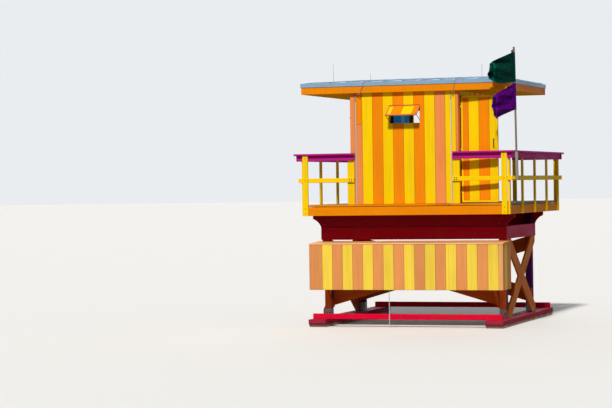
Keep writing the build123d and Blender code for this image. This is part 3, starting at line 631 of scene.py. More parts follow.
def siding(name, corner, across, strips, gaps=(), up=UP, material=PAINTED, body="tower",
           proud=0.003):
    """Boards on a wall, each a grid over its width and height, with two rows of nails.

    A point stands off the wall by `proud` over the board's face, and falls to the wall in a
    bevel along the board's edges, where the paint darkens as painted shade in the groove.
    Cells inside a gap are left out, and every open edge is turned back into the wall.
    """
    gap_side, bevel, lip, groove_shade, least_cell = 0.0015, 0.003, 0.0003, 0.3, 0.006
    across, up, corner = (np.array(v, float) for v in (across, up, corner))
    outward = np.cross(across, up)

    def on_wall(u, v, off):
        """Points at u across the wall, v up it and so far off it."""
        return corner + u[:, None] * across + v[:, None] * up + np.multiply.outer(off, outward)

    points, colours, grains, wears, faces, start = [], [], [], [], [], 0
    for u0, u1, v0, v1, colour in strips:
        lines = []
        for low_end, high_end, axis in ((u0, u1, 0), (v0, v1, 2)):
            cuts = [x for gap in gaps for x in gap[axis:axis + 2]
                    if low_end + least_cell < x < high_end - least_cell]
            marks = [low_end, low_end + gap_side, low_end + gap_side + bevel,
                     high_end - gap_side - bevel, high_end - gap_side, high_end]
            lines.append(np.unique(np.round(marks + cuts, 6)))
        u, v = (line.ravel() for line in np.meshgrid(*lines, indexing="ij"))
        to_edge = np.minimum.reduce([u - u0, u1 - u, v - v0, v1 - v])
        rise = np.clip((to_edge - gap_side) / bevel, 0, 1)
        height = lip + proud * chance.uniform(0.7, 1.0) * rise
        points.append(on_wall(u, v, height))
        # Painted shade: each board's paint darkens towards its edges, into the groove between boards
        colours.append(np.outer(groove_shade + (1 - groove_shade) * rise, colour * chance.uniform(0.96, 1.04)))
        upright = v1 - v0 > u1 - u0
        grains.append(np.stack([*((v, u) if upright else (u, v)), height], 1) + chance.uniform(-9, 9, 3))
        wears.append(1 - rise)
        for nail_u, nail_v in nail_rows(u0, u1, v0, v1):
            clear = outside(gaps, nail_u, nail_v)
            spots = on_wall(nail_u[clear], nail_v[clear], proud * 0.8)
            nail_spots[body].append(np.hstack([spots, np.broadcast_to(outward, spots.shape)]))
        quads = grid_faces(len(lines[0]), len(lines[1]))[:, ::-1]
        quads = quads[outside(gaps, u[quads].mean(1), v[quads].mean(1))]
        faces.append(quads + start)
        start += len(u)
    mesh = mesh_of(name, np.vstack(points), np.vstack(faces).tolist())
    lay_finish(mesh, np.vstack(colours), np.vstack(grains), np.concatenate(wears), wear_on="POINT")
    form = bmesh.new()
    form.from_mesh(mesh)
    bmesh.ops.delete(form, geom=[p for p in form.verts if not p.link_faces], context="VERTS")
    open_edges = [edge for edge in form.edges if edge.is_boundary]
    turned = bmesh.ops.extrude_edge_only(form, edges=open_edges)["geom"]
    back = Vector(outward * -(proud + 0.001))
    bmesh.ops.translate(form, vec=back, verts=[g for g in turned if isinstance(g, bmesh.types.BMVert)])
    form.to_mesh(mesh)
    form.free()
    return place(mesh, name, material, body)


def bolt_heads(name, spots, radius, material=RUSTED, body="tower", levels=5, sides=10):
    """Domed heads on washers. Each is a profile of radius and height turned about its normal.

    A spot is a place, then the way out of the surface. The profile is a flat washer, a
    step, and a quarter of an ellipse over the head.
    """
    spots = np.asarray(spots, float)[:, None, None]
    centre, normal = spots[..., :3], spots[..., 3:]
    washer, head, dome, tip = 0.12, 0.68, 0.38, 0.02
    angle = np.linspace(0, math.pi / 2, levels - 2)
    reach = radius * np.array([1, 1, *(head * np.cos(angle))])
    reach[-1] = radius * tip
    height = radius * np.array([-0.05, washer, *(washer + dome * np.sin(angle))])
    turn = round_turn(sides)[:, None]
    side = np.cross(np.where(np.abs(normal[..., 2:]) > 0.9, RIGHT, UP), normal)
    side /= np.linalg.norm(side, axis=-1, keepdims=True)
    around = np.cos(turn) * side + np.sin(turn) * np.cross(normal, side)
    points = centre + reach[:, None, None] * around + height[:, None, None] * normal
    top = np.arange(sides)[None] + (levels - 1) * sides
    faces = repeated(grid_faces(levels, sides, closed=True), len(spots), levels * sides)
    faces += repeated(top, len(spots), levels * sides)
    return place(mesh_of(name, points, faces), name, material, body)


def rings(name, centres, radius, tube, material, around=20, across=8):
    """Level rings: a circle of the tube's size carried round a circle of the ring's radius."""
    turn, bend = round_turn(around)[:, None], round_turn(across)[None]
    reach = radius + tube * np.cos(bend)
    ring = rows_of(reach * np.cos(turn), reach * np.sin(turn), tube * np.sin(bend))
    quads = grid_faces(around, across, closed=True, ring=True)[:, ::-1]
    mesh = mesh_of(name, ring[None] + np.asarray(centres, float)[:, None, None],
                   repeated(quads, len(centres), around * across), smooth=True)
    return place(mesh, name, material)


def saddles(name, spots, radius, ear, tall):
    """Pipe saddles on a wall that faces the front.

    Seen from above, the strip runs along the wall, round the pipe as half a circle and on
    along the wall. That path is carried upwards over the saddle's height.
    """
    bend = np.linspace(math.pi, 0, 9)
    x = np.array([-radius - ear, *(radius * np.cos(bend)), radius + ear])
    y = np.array([0, *(-radius * np.sin(bend)), 0]) - 0.001
    strip = rows_of(x[:, None], y[:, None], np.linspace(-tall / 2, tall / 2, 3))
    faces = repeated(grid_faces(len(x), 3)[:, ::-1], len(spots), len(x) * 3)
    mesh = mesh_of(name, strip[None] + np.asarray(spots, float)[:, None, None], faces)
    skin = place(mesh, name, GALVANISED).modifiers.new("thickness", "SOLIDIFY")
    skin.thickness = 0.0016
    skin.offset = 1


# Places and openings

low = {name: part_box(name)[0] for name in frame["nodes"]}
high = {name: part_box(name)[1] for name in frame["nodes"]}
deck_top, half_deck = high["deck_floor"].z, high["deck_floor"].x
front_y, rear_y = low["deck_floor"].y, high["deck_floor"].y
cabin_half = high["front_wall"].x
cabin_front, cabin_rear = low["front_wall"].y, high["rear_wall"].y
cabin_depth = cabin_rear - cabin_front
wall_height = high["front_wall"].z - deck_top
wall_depth = high["front_wall"].y - cabin_front
inner_half = cabin_half - wall_depth
inner_front, inner_rear = cabin_front + wall_depth, cabin_rear - wall_depth
inner_depth = inner_rear - inner_front
board = 0.038
foot = 0.004

window_x, left_window = 0.015, 1.158
window_half = 0.316
window_rise = (low["front_piers"].z - deck_top, high["front_piers"].z - deck_top)
look_half, look_low, look_high = 0.95, 0.905, 1.955
doorway = (high["door_post"].y - cabin_front, low["right_wall"].y - cabin_front)
door_head = low["door_header"].z - deck_top


def window_gap(middle):
    """A small window's opening about its middle."""
    return (middle - window_half, middle + window_half, *window_rise)


def lookout_gap(middle):
    """The sea-side opening about its middle."""
    return (middle - look_half, middle + look_half, look_low, look_high)


def striped(edges, colours, bottom=foot, top=wall_height):
    """Strips between neighbouring edges, each with its paint, from bottom to top."""
    return [(a, b, bottom, top, colour) for a, b, colour in zip(edges[:-1], edges[1:], colours)]


# Cabin

stripe, first_edge, corner_edge, patch_top = 0.217, -0.877, -1.03, 1.62
edges = [first_edge + stripe * index for index in range(10)]
front_strips = striped(edges, [YELLOW, ORANGE] * 3 + [YELLOW, SALMON, YELLOW])
front_strips += [
    (-cabin_half, corner_edge, foot, wall_height, SALMON),
    (corner_edge, first_edge, foot, patch_top, SALMON),
    (corner_edge, first_edge, patch_top, wall_height, ORANGE),
    (edges[-1], cabin_half, foot, wall_height, SALMON),
]
siding("front_siding", (0, cabin_front, deck_top), RIGHT, front_strips, [window_gap(window_x)])

between_corners = [SALMON, *[YELLOW, ORANGE] * 5, SALMON]
corner_board, door_corner, rear_stripe = 0.1, 0.105, 0.206
side_edges = np.linspace(corner_board, cabin_depth - corner_board, 11)
siding("left_siding", (-cabin_half, cabin_rear, deck_top), FORTH,
       striped([0.0, *side_edges, cabin_depth], between_corners), [window_gap(cabin_depth - left_window)])
right_edges = [doorway[1], *[e for e in side_edges if e > doorway[1] + corner_board / 2], cabin_depth]
right_strips = striped(right_edges, between_corners[1 - len(right_edges):])
right_strips += [
    (0.0, door_corner, foot, wall_height, SALMON),
    (*doorway, door_head, wall_height, YELLOW),
]
siding("right_siding", (cabin_half, cabin_front, deck_top), BACK, right_strips)
rear_edges = [-cabin_half, *[corner_edge + rear_stripe * index for index in range(11)], cabin_half]
siding("rear_siding", (0, cabin_rear, deck_top), LEFT, striped(rear_edges, between_corners), [lookout_gap(0)])

lining_rows = np.linspace(foot, wall_height, 14)


def lining(name, corner, across, length, gap):
    """Level boards over one inner wall."""
    strips = [(0.0, length, a, b, LINING) for a, b in zip(lining_rows, lining_rows[1:])]
    siding(name, (*corner, deck_top), across, strips, [gap], proud=0.002)


lining("front_lining", (inner_half, inner_front), LEFT, 2 * inner_half, window_gap(inner_half - window_x))
lining("rear_lining", (-inner_half, inner_rear), RIGHT, 2 * inner_half, lookout_gap(inner_half))
lining("left_lining", (-inner_half, inner_front), BACK, inner_depth, window_gap(left_window - wall_depth))
door_gap = (inner_rear - low["right_wall"].y, inner_rear - high["door_post"].y, -0.01, door_head)
lining("right_lining", (inner_half, inner_rear), FORTH, inner_depth, door_gap)

for node in ("front_wall", "front_piers", "left_wall", "rear_wall", "right_wall", "door_post", "door_header"):
    dressed(node, ORANGE * 0.8, PAINTED, ease=0.001, vary=0)
dressed("lookout_mullions", YELLOW)

# Flaps over the small windows: boards of the wall's paints in a narrow frame

dressed("window_flaps", SALMON * 0.9, ease=0.002)
lean = math.radians(55)
sin_lean, cos_lean = math.sin(lean), math.cos(lean)
flap_long, flap_wide, flap_rim = 0.343, 0.656, 0.032
flap_reach, flap_thick = 0.33, 0.02
flap_out = flap_reach * sin_lean + flap_thick * cos_lean
flap_low = high["front_piers"].z - flap_reach * cos_lean + flap_thick * sin_lean
rim_ends = (flap_rim, flap_long - flap_rim)
flap_strips = striped([flap_rim, 0.118, 0.318, 0.545, flap_wide - flap_rim], [YELLOW, ORANGE] * 2, *rim_ends)
flap_strips += [
    (0.0, flap_wide, 0.0, flap_rim, SALMON),
    (0.0, flap_wide, flap_long - flap_rim, flap_long, ORANGE),
    (0.0, flap_rim, *rim_ends, SALMON),
    (flap_wide - flap_rim, flap_wide, *rim_ends, SALMON),
]
left_window_y = cabin_front + left_window
siding("front_flap_boards", (window_x - flap_wide / 2, cabin_front - flap_out, flap_low), RIGHT, flap_strips,
       up=(0, sin_lean, cos_lean))
siding("left_flap_boards", (-cabin_half - flap_out, left_window_y + flap_wide / 2, flap_low), FORTH,
       flap_strips, up=(sin_lean, 0, cos_lean))
hinge_y, hinge_x, hinge_z = cabin_front - 0.006, -cabin_half - 0.006, high["front_piers"].z + 0.030
hinge_half, hinge_size = 0.32, 0.011
bars("flap_hinges",
     [(window_x - hinge_half, hinge_y, hinge_z), (hinge_x, left_window_y - hinge_half, hinge_z)],
     [(window_x + hinge_half, hinge_y, hinge_z), (hinge_x, left_window_y + hinge_half, hinge_z)],
     hinge_size, hinge_size, RUST, DARK_STEEL, "steel", vary=0)

# Door, with boards on both faces of its leaf

hinge = Vector(frame["joints"][0]["pos_m"])
door_turn = math.radians(94)
leaf_out = np.array([math.cos(door_turn), -math.sin(door_turn), 0])
leaf_along = np.array([math.sin(door_turn), math.cos(door_turn), 0])
leaf_foot = np.array([hinge.x, hinge.y, low["door_leaf"].z])
leaf_rim, outer_face, inner_face = 0.038, 0.014, 0.046
leaf_rise = (leaf_rim, high["door_leaf"].z - low["door_leaf"].z - leaf_rim)
door_edges, door_paints = np.array([0.044, 0.160, 0.376, 0.593, 0.730]), [ORANGE, YELLOW] * 2
siding("door_outer_boards", leaf_foot - outer_face * leaf_out, leaf_along,
       striped(door_edges, door_paints, *leaf_rise), body="door")
siding("door_inner_boards", leaf_foot - inner_face * leaf_out, -leaf_along,
       striped(-door_edges[::-1], door_paints[::-1], *leaf_rise), body="door")
dressed("door_leaf", YELLOW, ease=0.002, body="door", vary=0)

# Roof's edge and soffit


def board_frame(name, node, half, front, rear, bottom, top):
    """Four boards on edge round a rectangle: front, rear, left and right."""
    inside = (front + board, rear - board)
    sides = [(-half, half, front, front + board), (-half, half, rear - board, rear),
             (-half, -half + board, *inside), (half - board, half, *inside)]
    boards(name, [(x, y, bottom) for x, _, y, _ in sides], [(x, y, top) for _, x, _, y in sides],
           FASCIA, slot="orange", stands_for=(node,), vary=0.02)


fascia_low, roof_front = low["roof_fascia"].z, low["roof_fascia"].y
board_frame("roof_fascia_boards", "roof_fascia", high["roof_fascia"].x, roof_front, high["roof_fascia"].y,
            fascia_low, high["roof_fascia"].z)
soffit_low, soffit_high = low["soffit"], high["soffit"]
soffit_rows, soffit_joint = np.linspace(soffit_low.y, soffit_high.y, 26), 0.001
boards("soffit_boards",
       rows_of(soffit_low.x, soffit_rows[:-1] + soffit_joint, soffit_low.z),
       rows_of(soffit_high.x, soffit_rows[1:] - soffit_joint, soffit_high.z),
       SOFFIT, UNDERSIDE, ease=0.0025, stands_for=("soffit",), vary=0.03)

# Deck and railings

board_gap, board_count = 0.005, 32
board_pitch = (rear_y - front_y + board_gap) / board_count
board_rows = front_y + board_pitch * np.arange(board_count)
deck_paints = [FASCIA] + [DECK_GREY] * (board_count - 1)
boards("deck_boards",
       rows_of(-half_deck, board_rows, low["deck_floor"].z),
       rows_of(half_deck, board_rows + board_pitch - board_gap, deck_top),
       deck_paints, DECKING, "deck_grey", stands_for=("deck_floor",), vary=0.12)
rim_low = low["deck_rim"].z
board_frame("deck_rim_boards", "deck_rim", half_deck, front_y, rear_y, rim_low, high["deck_rim"].z - 0.009)
dressed("deck_joists", BARE_WOOD * 1.1, ROUGH_TIMBER)


def rail_paint(middles, normals):
    """Magenta on the deep top board, yellow on the middle rail."""
    between_rails = deck_top + 0.75
    return np.where(middles[:, 2:3] > between_rails, MAGENTA, YELLOW)


dressed("rail_posts", YELLOW)
dressed("side_rails", rail_paint)
dressed("end_rails", rail_paint)
dressed("side_caps", MAGENTA, CAP_PAINT, ease=0.006)
dressed("end_caps", MAGENTA, CAP_PAINT, ease=0.006)
dressed("pole_block", YELLOW)

# Storage box

box_x, box_low, lid_low = high["storage_box"].x, low["storage_box"].z, low["box_lid"].z
box_front, box_back = low["storage_box"].y, high["storage_box"].y
box_height, box_depth = lid_low - box_low, box_back - box_front
box_stripe, box_joint = 0.2165, -0.016
box_edges = [-box_x, *[box_joint + box_stripe * index for index in range(-8, 10)], box_x]
box_paints = [PALE_SALMON, PALE_YELLOW] * 9 + [PEACH]
end_edges = np.array([0.0, 0.12, 0.33, 0.52, box_depth])
end_paints = [PALE_SALMON, PALE_YELLOW, PALE_SALMON, PALE_SALMON]
for name, corner, across, edges, colours in (
    ("box_front_boards", (0, box_front, box_low), RIGHT, box_edges, box_paints),
    ("box_right_boards", (box_x, box_front, box_low), BACK, end_edges, end_paints),
    ("box_left_boards", (-box_x, box_back, box_low), FORTH, box_depth - end_edges[::-1], end_paints[::-1]),
):
    siding(name, corner, across, striped(edges, colours, 0.0, box_height), material=BOX_PAINT)
dressed("storage_box", PALE_SALMON, BOX_PAINT, ease=0.002, vary=0)


def lid_paint(middles, normals):
    """Pale orange, paler on the worn front edge."""
    return np.where(normals[:, 1:2] < -0.4, LID_EDGE, LID_ORANGE)


dressed("box_lid", lid_paint, BOX_PAINT, vary=0)

# Base


def leg_paint(middles, normals):
    """Purple legs, with the front legs' front faces painted as their braces."""
    facing_front, at_front = normals[:, 1:2] < -0.5, middles[:, 1:2] < -1.0
    return np.where(facing_front & at_front, LEG_FRONT, PURPLE)


# The legs darken over their seam: painted shade under the deck
dressed("legs", leg_paint, LEG_PAINT, ease=0.005)
# Painted shade: the end girders take a darkened copy of the crimson, darker again over their seam, and the
# side girders a copy tinted as crimson looks in sky-lit shade
dressed("end_girders", GIRDER_CRIMSON_SHADED, GIRDER_PAINT, ease=0.005)
dressed("side_girders", GIRDER_CRIMSON_SKYLIT_SHADE)
for node in ("end_braces_rising", "end_braces_falling", "box_struts"):
    dressed(node, BRACE, BASE_PAINT)
for node in ("side_braces_rising", "side_braces_falling"):
    dressed(node, BRACE_SIDE, BASE_PAINT)
dressed("skids", SKID_ROSE, SKID_PAINT, ease=0.008)
dressed("cross_rails", CRIMSON, SKID_PAINT, ease=0.005)

for node, material in (
    ("leg_shoes", GALVANISED), ("door_handle", DARK_STEEL), ("door_hinges", DARK_STEEL),
    ("flap_stays", RUSTED), ("lightning_rods", CONDUIT), ("down_conductors", LEADS), ("roof", ROOF_METAL),
    ("flagpole", WOODEN_POLE), ("pole_sleeve", SLEEVE_PLASTIC), ("lookout_glass", GLASS),
):
    frame["nodes"][node].data.materials.clear()
    frame["nodes"][node].data.materials.append(material)

# Roof seams from the eaves to the ridge and hips, then ridge and hip caps

eave_z, ridge_z = 4.95, high["roof"].z
eave_x, eave_front, eave_back = high["roof"].x, low["roof"].y, high["roof"].y
hip_run, cap_run, seam_inset = 0.712, 0.64, 0.01
ridge_y, ridge_x = (eave_front + eave_back) / 2, eave_x - hip_run
slope_run, roof_rise = ridge_y - eave_front, ridge_z - eave_z
first_seam = (0.2, 0.25)
seam_x = np.linspace(first_seam[0] - eave_x, eave_x - first_seam[0], 11)
seam_y = np.linspace(eave_front + first_seam[1], eave_back - first_seam[1], 8)
slope_share = np.minimum((eave_x - np.abs(seam_x)) / hip_run, 1)
end_share = 1 - np.abs(seam_y - ridge_y) / slope_run
starts, ends = [], []
for side, edge in ((1, eave_front + seam_inset), (-1, eave_back - seam_inset)):
    starts.append(rows_of(seam_x, edge, eave_z))
    ends.append(rows_of(seam_x, edge + side * slope_run * slope_share, eave_z + roof_rise * slope_share))
for edge in (seam_inset - eave_x, eave_x - seam_inset):
    starts.append(rows_of(edge, seam_y, eave_z))
    ends.append(rows_of(edge - np.sign(edge) * hip_run * end_share, seam_y, eave_z + roof_rise * end_share))
bars("roof_seams", np.vstack(starts), np.vstack(ends), 0.02, 0.03, ORANGE, ROOF_METAL, "metal", vary=0)
ridge = {side: (side * ridge_x, ridge_y, ridge_z) for side in (-1, 1)}
down_hip = cap_run / hip_run
hips = [((side * (ridge_x + cap_run), ridge_y + (edge - ridge_y) * down_hip, ridge_z - roof_rise * down_hip),
         ridge[side]) for side, edge in product((-1, 1), (eave_front, eave_back))]
bars("roof_caps", *zip((ridge[-1], ridge[1]), *hips), 0.1, 0.022, ORANGE, ROOF_METAL, "metal", vary=0)

# Trim round the lookout's opening, on the sea wall's outer face

trim, trim_sunk, trim_proud = 0.06, 0.001, 0.016
trim_half = look_half + trim
trim_boards = [
    (-trim_half, trim_half, look_high, look_high + trim),
    (-trim_half, trim_half, look_low - trim, look_low),
    (-trim_half, -look_half, look_low, look_high),
    (look_half, trim_half, look_low, look_high),
]
boards("lookout_trim",
       [(x, cabin_rear - trim_sunk, deck_top + z) for x, _, z, _ in trim_boards],
       [(x, cabin_rear + trim_proud, deck_top + z) for _, x, _, z in trim_boards], YELLOW)

# Flags fly from the pole, down the wind

pole_radius = 0.02
pole_low, pole_high = low["flagpole"], high["flagpole"]
pole_x = (pole_high.x - pole_radius, pole_low.x + pole_radius)
downwind = np.array([-0.643, -0.766, 0.0])
aslant = np.array([0.45, -0.893, 0.0])
flag_size = (0.62, 0.60)


def on_pole(z):
    """Points of the pole's axis at the given heights."""
    share = (z - pole_low.z) / (pole_high.z - pole_low.z)
    return rows_of(pole_x[0] + (pole_x[1] - pole_x[0]) * share, (pole_low.y + pole_high.y) / 2, z)


def halved(least, most, too_small):
    """The number between two bounds at which too_small turns false, by halving."""
    for _ in range(24):
        middle = (least + most) / 2
        short = too_small(middle)
        least, most = np.where(short, middle, least), np.where(short, most, middle)
    return least, middle


def hem_round_pole(name, hoist, material):
    """The flag's hem round the pole.

    A circle round the pole's axis, carried down the hoist. Its radius swells from the pole
    by 4 mm times one less the tenth power of the distance from the middle, so that both
    ends are gathered.
    """
    rows, around, snug, swell = 25, 20, 0.0008, 0.004
    down = np.linspace(0, 1, rows)[:, None]
    turn = round_turn(around)[None]
    radius = pole_radius + snug + swell * (1 - (2 * down - 1) ** 10)
    axis = on_pole(hoist[0] + (hoist[1] - hoist[0]) * down)
    points = axis + rows_of(radius * np.cos(turn), radius * np.sin(turn), 0.0)
    mesh = mesh_of(name, points, grid_faces(rows, around, closed=True)[:, ::-1].tolist(), smooth=True)
    lay_attribute(mesh, "grain", "FLOAT_VECTOR", "POINT", rows_of(0.02 * turn, flag_size[1] * down, 0.0))
    return place(mesh, name, material)


def flown(name, node, hoist, fly, bend, sag, folds, phase, sway, frayed, taper, material):
    """A flag as a grid, out from the pole and down the hoist.

    Each column falls evenly from the top edge to the foot, and swings to either side as a
    sum of two sines. The height of the swing is found by halving, so that the column is as
    long as the cloth is high. The reach is found the same way, so that the rows are as long
    as the cloth is wide. The fly is frayed back by noise, and `taper` draws in its two
    corners, upper and lower. The foot's edge sags between pole and fly.
    """
    rows, columns = 61, 65
    wide, tall = flag_size
    out, down = np.linspace(0, 1, columns)[None], np.linspace(0, 1, rows)[:, None]
    top = hoist[0] + (fly[0] - hoist[0]) * out ** bend[0]
    foot_edge = hoist[1] + (fly[1] - hoist[1]) * out ** bend[1] - sag * np.sin(math.pi * out ** 1.5)
    drift = 0.14 * np.sin(TURN * (down * 1.5 + phase)) * out * (1 - out) * down * (1 - down) * 4
    z = top + (foot_edge - top) * (down + drift)
    angle = TURN * (folds * down + phase + 0.5 * out)
    swing = np.sin(angle) + 0.4 * np.sin(1.7 * angle + 1.1 + 3.0 * out)
    swing_height = halved(np.zeros(columns), np.full(columns, 0.3), lambda trial: np.hypot(
        np.diff(z, axis=0), np.diff(swing, axis=0) * trial).sum(0) < tall)[0]
    eased = np.clip(out[0] / 0.14, 0, 1) ** 1.5
    aside = swing * (swing_height * eased) + sway * np.sin(TURN * (0.7 * out + phase)) * out
    reach = halved(0.2, 0.7, lambda trial: np.sqrt(
        (trial / (columns - 1)) ** 2 + np.diff(z, axis=1) ** 2 + np.diff(aside, axis=1) ** 2
    ).sum(1).mean() < wide)[1]
    tear = np.convolve(chance.uniform(0, 1, rows + 4), np.ones(3) / 3, "same")[2:-2, None]
    drawn_in = 0.04 * np.abs(2 * down - 1) ** 9 + taper[0] * (1 - down) ** 5 + taper[1] * down ** 5
    outline = 0.03 * np.sin(math.pi * down) - drawn_in - frayed * tear
    distance = reach * out * (1 + outline * out ** 6)
    points = on_pole(z[:, :1]) + (distance[..., None] + pole_radius * 1.05) * downwind
    points = points + aside[..., None] * aslant
    points[..., 2] = z
    mesh = mesh_of(name, points, grid_faces(rows, columns).tolist(), smooth=True)
    lay_attribute(mesh, "grain", "FLOAT_VECTOR", "POINT", rows_of(wide * out, tall * down, 0.0))
    cloth = place(mesh, name, material, stands_for=(node,))


green_hoist, violet_hoist = (5.455, 4.86), (4.845, 4.315)
green_hem = hem_round_pole("green_flag_hem", green_hoist, GREEN_CLOTH)
violet_hem = hem_round_pole("violet_flag_hem", violet_hoist, VIOLET_CLOTH)
flown("green_flag_cloth", "green_flag", green_hoist, fly=(5.24, 4.92),
      bend=(1.0, 3.0), sag=0.04, folds=1.6, phase=0.16, sway=0.05, frayed=0.02, taper=(0.08, -0.13),
      material=GREEN_CLOTH)
flown("violet_flag_cloth", "purple_flag", violet_hoist, fly=(4.58, 4.11),
      bend=(0.85, 1.0), sag=0.0, folds=1.9, phase=0.5, sway=0.04, frayed=0.06, taper=(0.0, 0.22),
      material=VIOLET_CLOTH)
tie_heights = np.array([5.50, 5.445, 4.87, 4.835, 4.33])
rings("flag_ties", on_pole(tie_heights), 0.0235, 0.0042, DARK_TIES)
knot_turns = on_pole(np.linspace(5.452, 5.488, 5)) + (-0.036, -0.008, 0)
rings("flag_tie_knot", knot_turns, 0.012, 0.006, DARK_TIES, around=14)

# Bolts, screws, nails and saddles

mid_z, cap_z = deck_top + 0.495, deck_top + 0.945
rim_heights = (rim_low + 0.045, rim_low + 0.14)
board_ends = (-1.193, 1.005)
end_spots = [(x + inset, front_y, mid_z + up, 0, -1, 0)
             for x, inset, up in product(board_ends, (0.052, 0.094), (-0.02, 0.02))]
bolt_heads("rail_end_bolts", end_spots, 0.012)
post_inset = 0.0825
post_rows = np.linspace(front_y + post_inset, rear_y - post_inset, 5)
rail_x, corner_x = high["side_rails"].x, half_deck - 0.058
rail_spots = [(side * x, y, z, side, 0, 0) for side, y in product((-1, 1), post_rows)
              for x, z in ((rail_x, mid_z + 0.018), (rail_x, mid_z - 0.018), (rail_x, cap_z),
                           *((half_deck + board, z) for z in rim_heights))]
rail_spots += [(x, front_y - board, z, 0, -1, 0)
               for x, z in product((-corner_x, corner_x), (*rim_heights, mid_z, cap_z))]
bolt_heads("rail_bolts", rail_spots, 0.011, sides=8)

leg_half, bolt_half = 0.07, 0.035
shoe_bolt, foot_bolt, head_bolt, foot_inset, head_inset = 0.245, 0.34, 1.62, 0.06, 0.08
leg_low, leg_high, shoe_low, shoe_high = low["legs"], high["legs"], low["leg_shoes"], high["leg_shoes"]
brace_low, brace_high = low["side_braces_rising"], high["side_braces_rising"]
brace_spots = [((brace_low.y + brace_high.y) / 2, (brace_low.z + brace_high.z) / 2),
               (leg_low.y + foot_inset, foot_bolt), (leg_high.y - foot_inset, foot_bolt),
               (leg_low.y + head_inset, head_bolt), (leg_high.y - head_inset, head_bolt)]
base_spots = [(side * brace_high.x, y, z, side, 0, 0) for side, (y, z) in product((-1, 1), brace_spots)]
shoe_x = shoe_high.x - leg_half
base_spots += [(x + dx, y, shoe_bolt, 0, way, 0) for x, dx, (y, way) in product(
    (-shoe_x, shoe_x), (-bolt_half, bolt_half), ((shoe_low.y, -1), (shoe_high.y, 1)))]
bolt_heads("base_bolts", base_spots, 0.016)
leg_x = leg_high.x - leg_half
girder_faces = ((low["end_girders"].y, -1), (high["end_girders"].y, 1))
girder_rows = ((-bolt_half, 1.84), (bolt_half, 1.93), (-bolt_half, 2.08), (bolt_half, 2.17))
girder_spots = [(x + dx, y, z, 0, way, 0)
                for x, (y, way), (dx, z) in product((-leg_x, leg_x), girder_faces, girder_rows)]
bolt_heads("girder_bolts", girder_spots, 0.016, PAINTED_BOLTS)

conduits, saddle_rows = (-1.012, 0.984), (0.15, 0.75, 1.35, 1.95)
saddles("conduit_saddles", [(x, cabin_front, deck_top + z) for x, z in product(conduits, saddle_rows)],
        radius=0.0125, ear=0.016, tall=0.016)
fascia_half = 2.05
fascia_spots = [(x, roof_front, fascia_low + z, 0, -1, 0)
                for x, z in product(np.linspace(-fascia_half, fascia_half, 11), (0.035, 0.105))]
bolt_heads("fascia_screws", fascia_spots, 0.006, DARK_STEEL, sides=6)
for body, spots in nail_spots.items():
    bolt_heads(f"{body}_nails", np.vstack(spots), 0.0045, body=body, levels=4, sides=6)
joist_half = half_deck - 0.06
joist_rows = np.linspace(-joist_half, joist_half, 11)
deck_spots = [(x + dx, y + board_pitch / 2, deck_top - 0.0005, 0, 0, 1)
              for x, y, dx in product(joist_rows, board_rows, (-0.018, 0.018))]
bolt_heads("deck_screws", deck_spots, 0.005, GALVANISED, levels=4, sides=6)

# A bent strap lies on the box's lid

lid_thick = 0.022
lid_slope = (high["box_lid"].z - lid_thick - lid_low) / (high["box_lid"].y - low["box_lid"].y)


def on_lid(x, back, over):
    """A point over the lid, from how far back it is and its height above the top."""
    return (x, low["box_lid"].y + back, lid_low + lid_thick + lid_slope * back + over)


bars("lid_strap", [on_lid(-0.61, 0.004, 0.006), on_lid(-0.545, 0.05, 0.030), on_lid(-0.495, 0.07, 0.044)],
     [on_lid(-0.543, 0.052, 0.031), on_lid(-0.493, 0.072, 0.045), on_lid(-0.425, 0.13, 0.020)],
     0.045, 0.006, LID_EDGE, TRIM, "pastel", ease=0.001)

# Floor and sky, pale where they are seen and plain in the light that they give

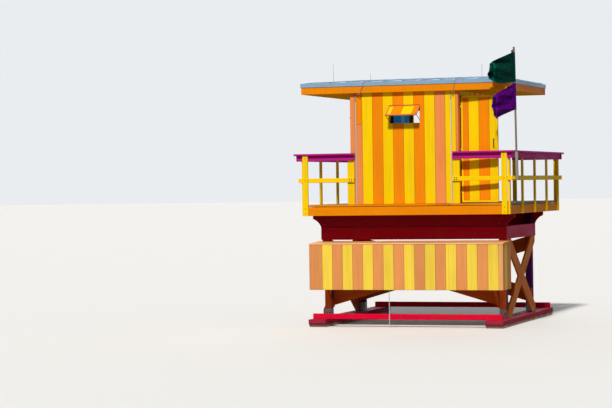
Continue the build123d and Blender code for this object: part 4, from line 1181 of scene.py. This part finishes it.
floor_half = 300.0
floor_corners = np.array([(-1, -1, 0), (1, -1, 0), (1, 1, 0), (-1, 1, 0)]) * floor_half
floor = stand("floor", mesh_of("floor", floor_corners, [(0, 1, 2, 3)]))
floor_paint, floor_tree, floor_shader = start_material("Pale Floor")
floor_rays = new_node(floor_tree, "ShaderNodeLightPath").outputs
floor_seen = arith("MAXIMUM", floor_rays["Is Camera Ray"], floor_rays["Is Transmission Ray"])
pale = blend_colour(floor_seen, (0.34, 0.33, 0.31), (0.84, 0.83, 0.81))
feed(floor_shader.inputs["Base Color"], pale)
floor_shader.inputs["Roughness"].default_value = 0.9
floor.data.materials.append(floor_paint)

world = bpy.data.worlds.new("studio")
bpy.context.scene.world = world
world.use_nodes = True
sky = world.node_tree
backdrop = sky.nodes["Background"]
rays = new_node(sky, "ShaderNodeLightPath").outputs
mirrored = arith("MAXIMUM", rays["Is Glossy Ray"], rays["Is Transmission Ray"])
seen = arith("MAXIMUM", rays["Is Camera Ray"], mirrored)
feed(backdrop.inputs["Color"], (0.86, 0.89, 0.92))
feed(backdrop.inputs["Strength"], span(seen, 0.0, 1.0, 0.16, 0.95))


def sun(name, energy, degrees, towards, colour=(1.0, 1.0, 1.0)):
    """A far lamp that shines from a direction, and is so many degrees wide."""
    light = bpy.data.lights.new(name, "SUN")
    light.energy, light.angle, light.color = energy, math.radians(degrees), colour
    lamp = stand(name, light)
    lamp.rotation_mode = "QUATERNION"
    lamp.rotation_quaternion = Vector(towards).to_track_quat("Z", "Y")


sun("key", 3.5, 5, (0.06, -0.72, 0.70), (1.0, 0.98, 0.95))
sun("fill", 0.7, 60, (-0.35, 0.85, 0.4))

# The camera stands where the photograph was taken, 44 m off and 2.9 m up

azimuth, pitch, roll = (math.radians(angle) for angle in (19.095, 0.520, -0.821))
flat = math.cos(pitch)
forward = Vector((-math.sin(azimuth) * flat, math.cos(azimuth) * flat, -math.sin(pitch)))
level = forward.cross(Vector(UP)).normalized()
rise = level.cross(forward)
right = math.cos(roll) * level + math.sin(roll) * rise
upward = -math.sin(roll) * level + math.cos(roll) * rise
camera = stand("camera", bpy.data.cameras.new("camera"))
camera.data.lens = 123.54
camera.data.clip_end = 600
camera.rotation_mode = "QUATERNION"
camera.rotation_quaternion = Matrix((right, upward, -forward)).transposed().to_quaternion()
camera.location = (11.922, -42.5665, 2.892)
bpy.context.scene.camera = camera
bpy.context.scene.view_settings.view_transform = "Standard"
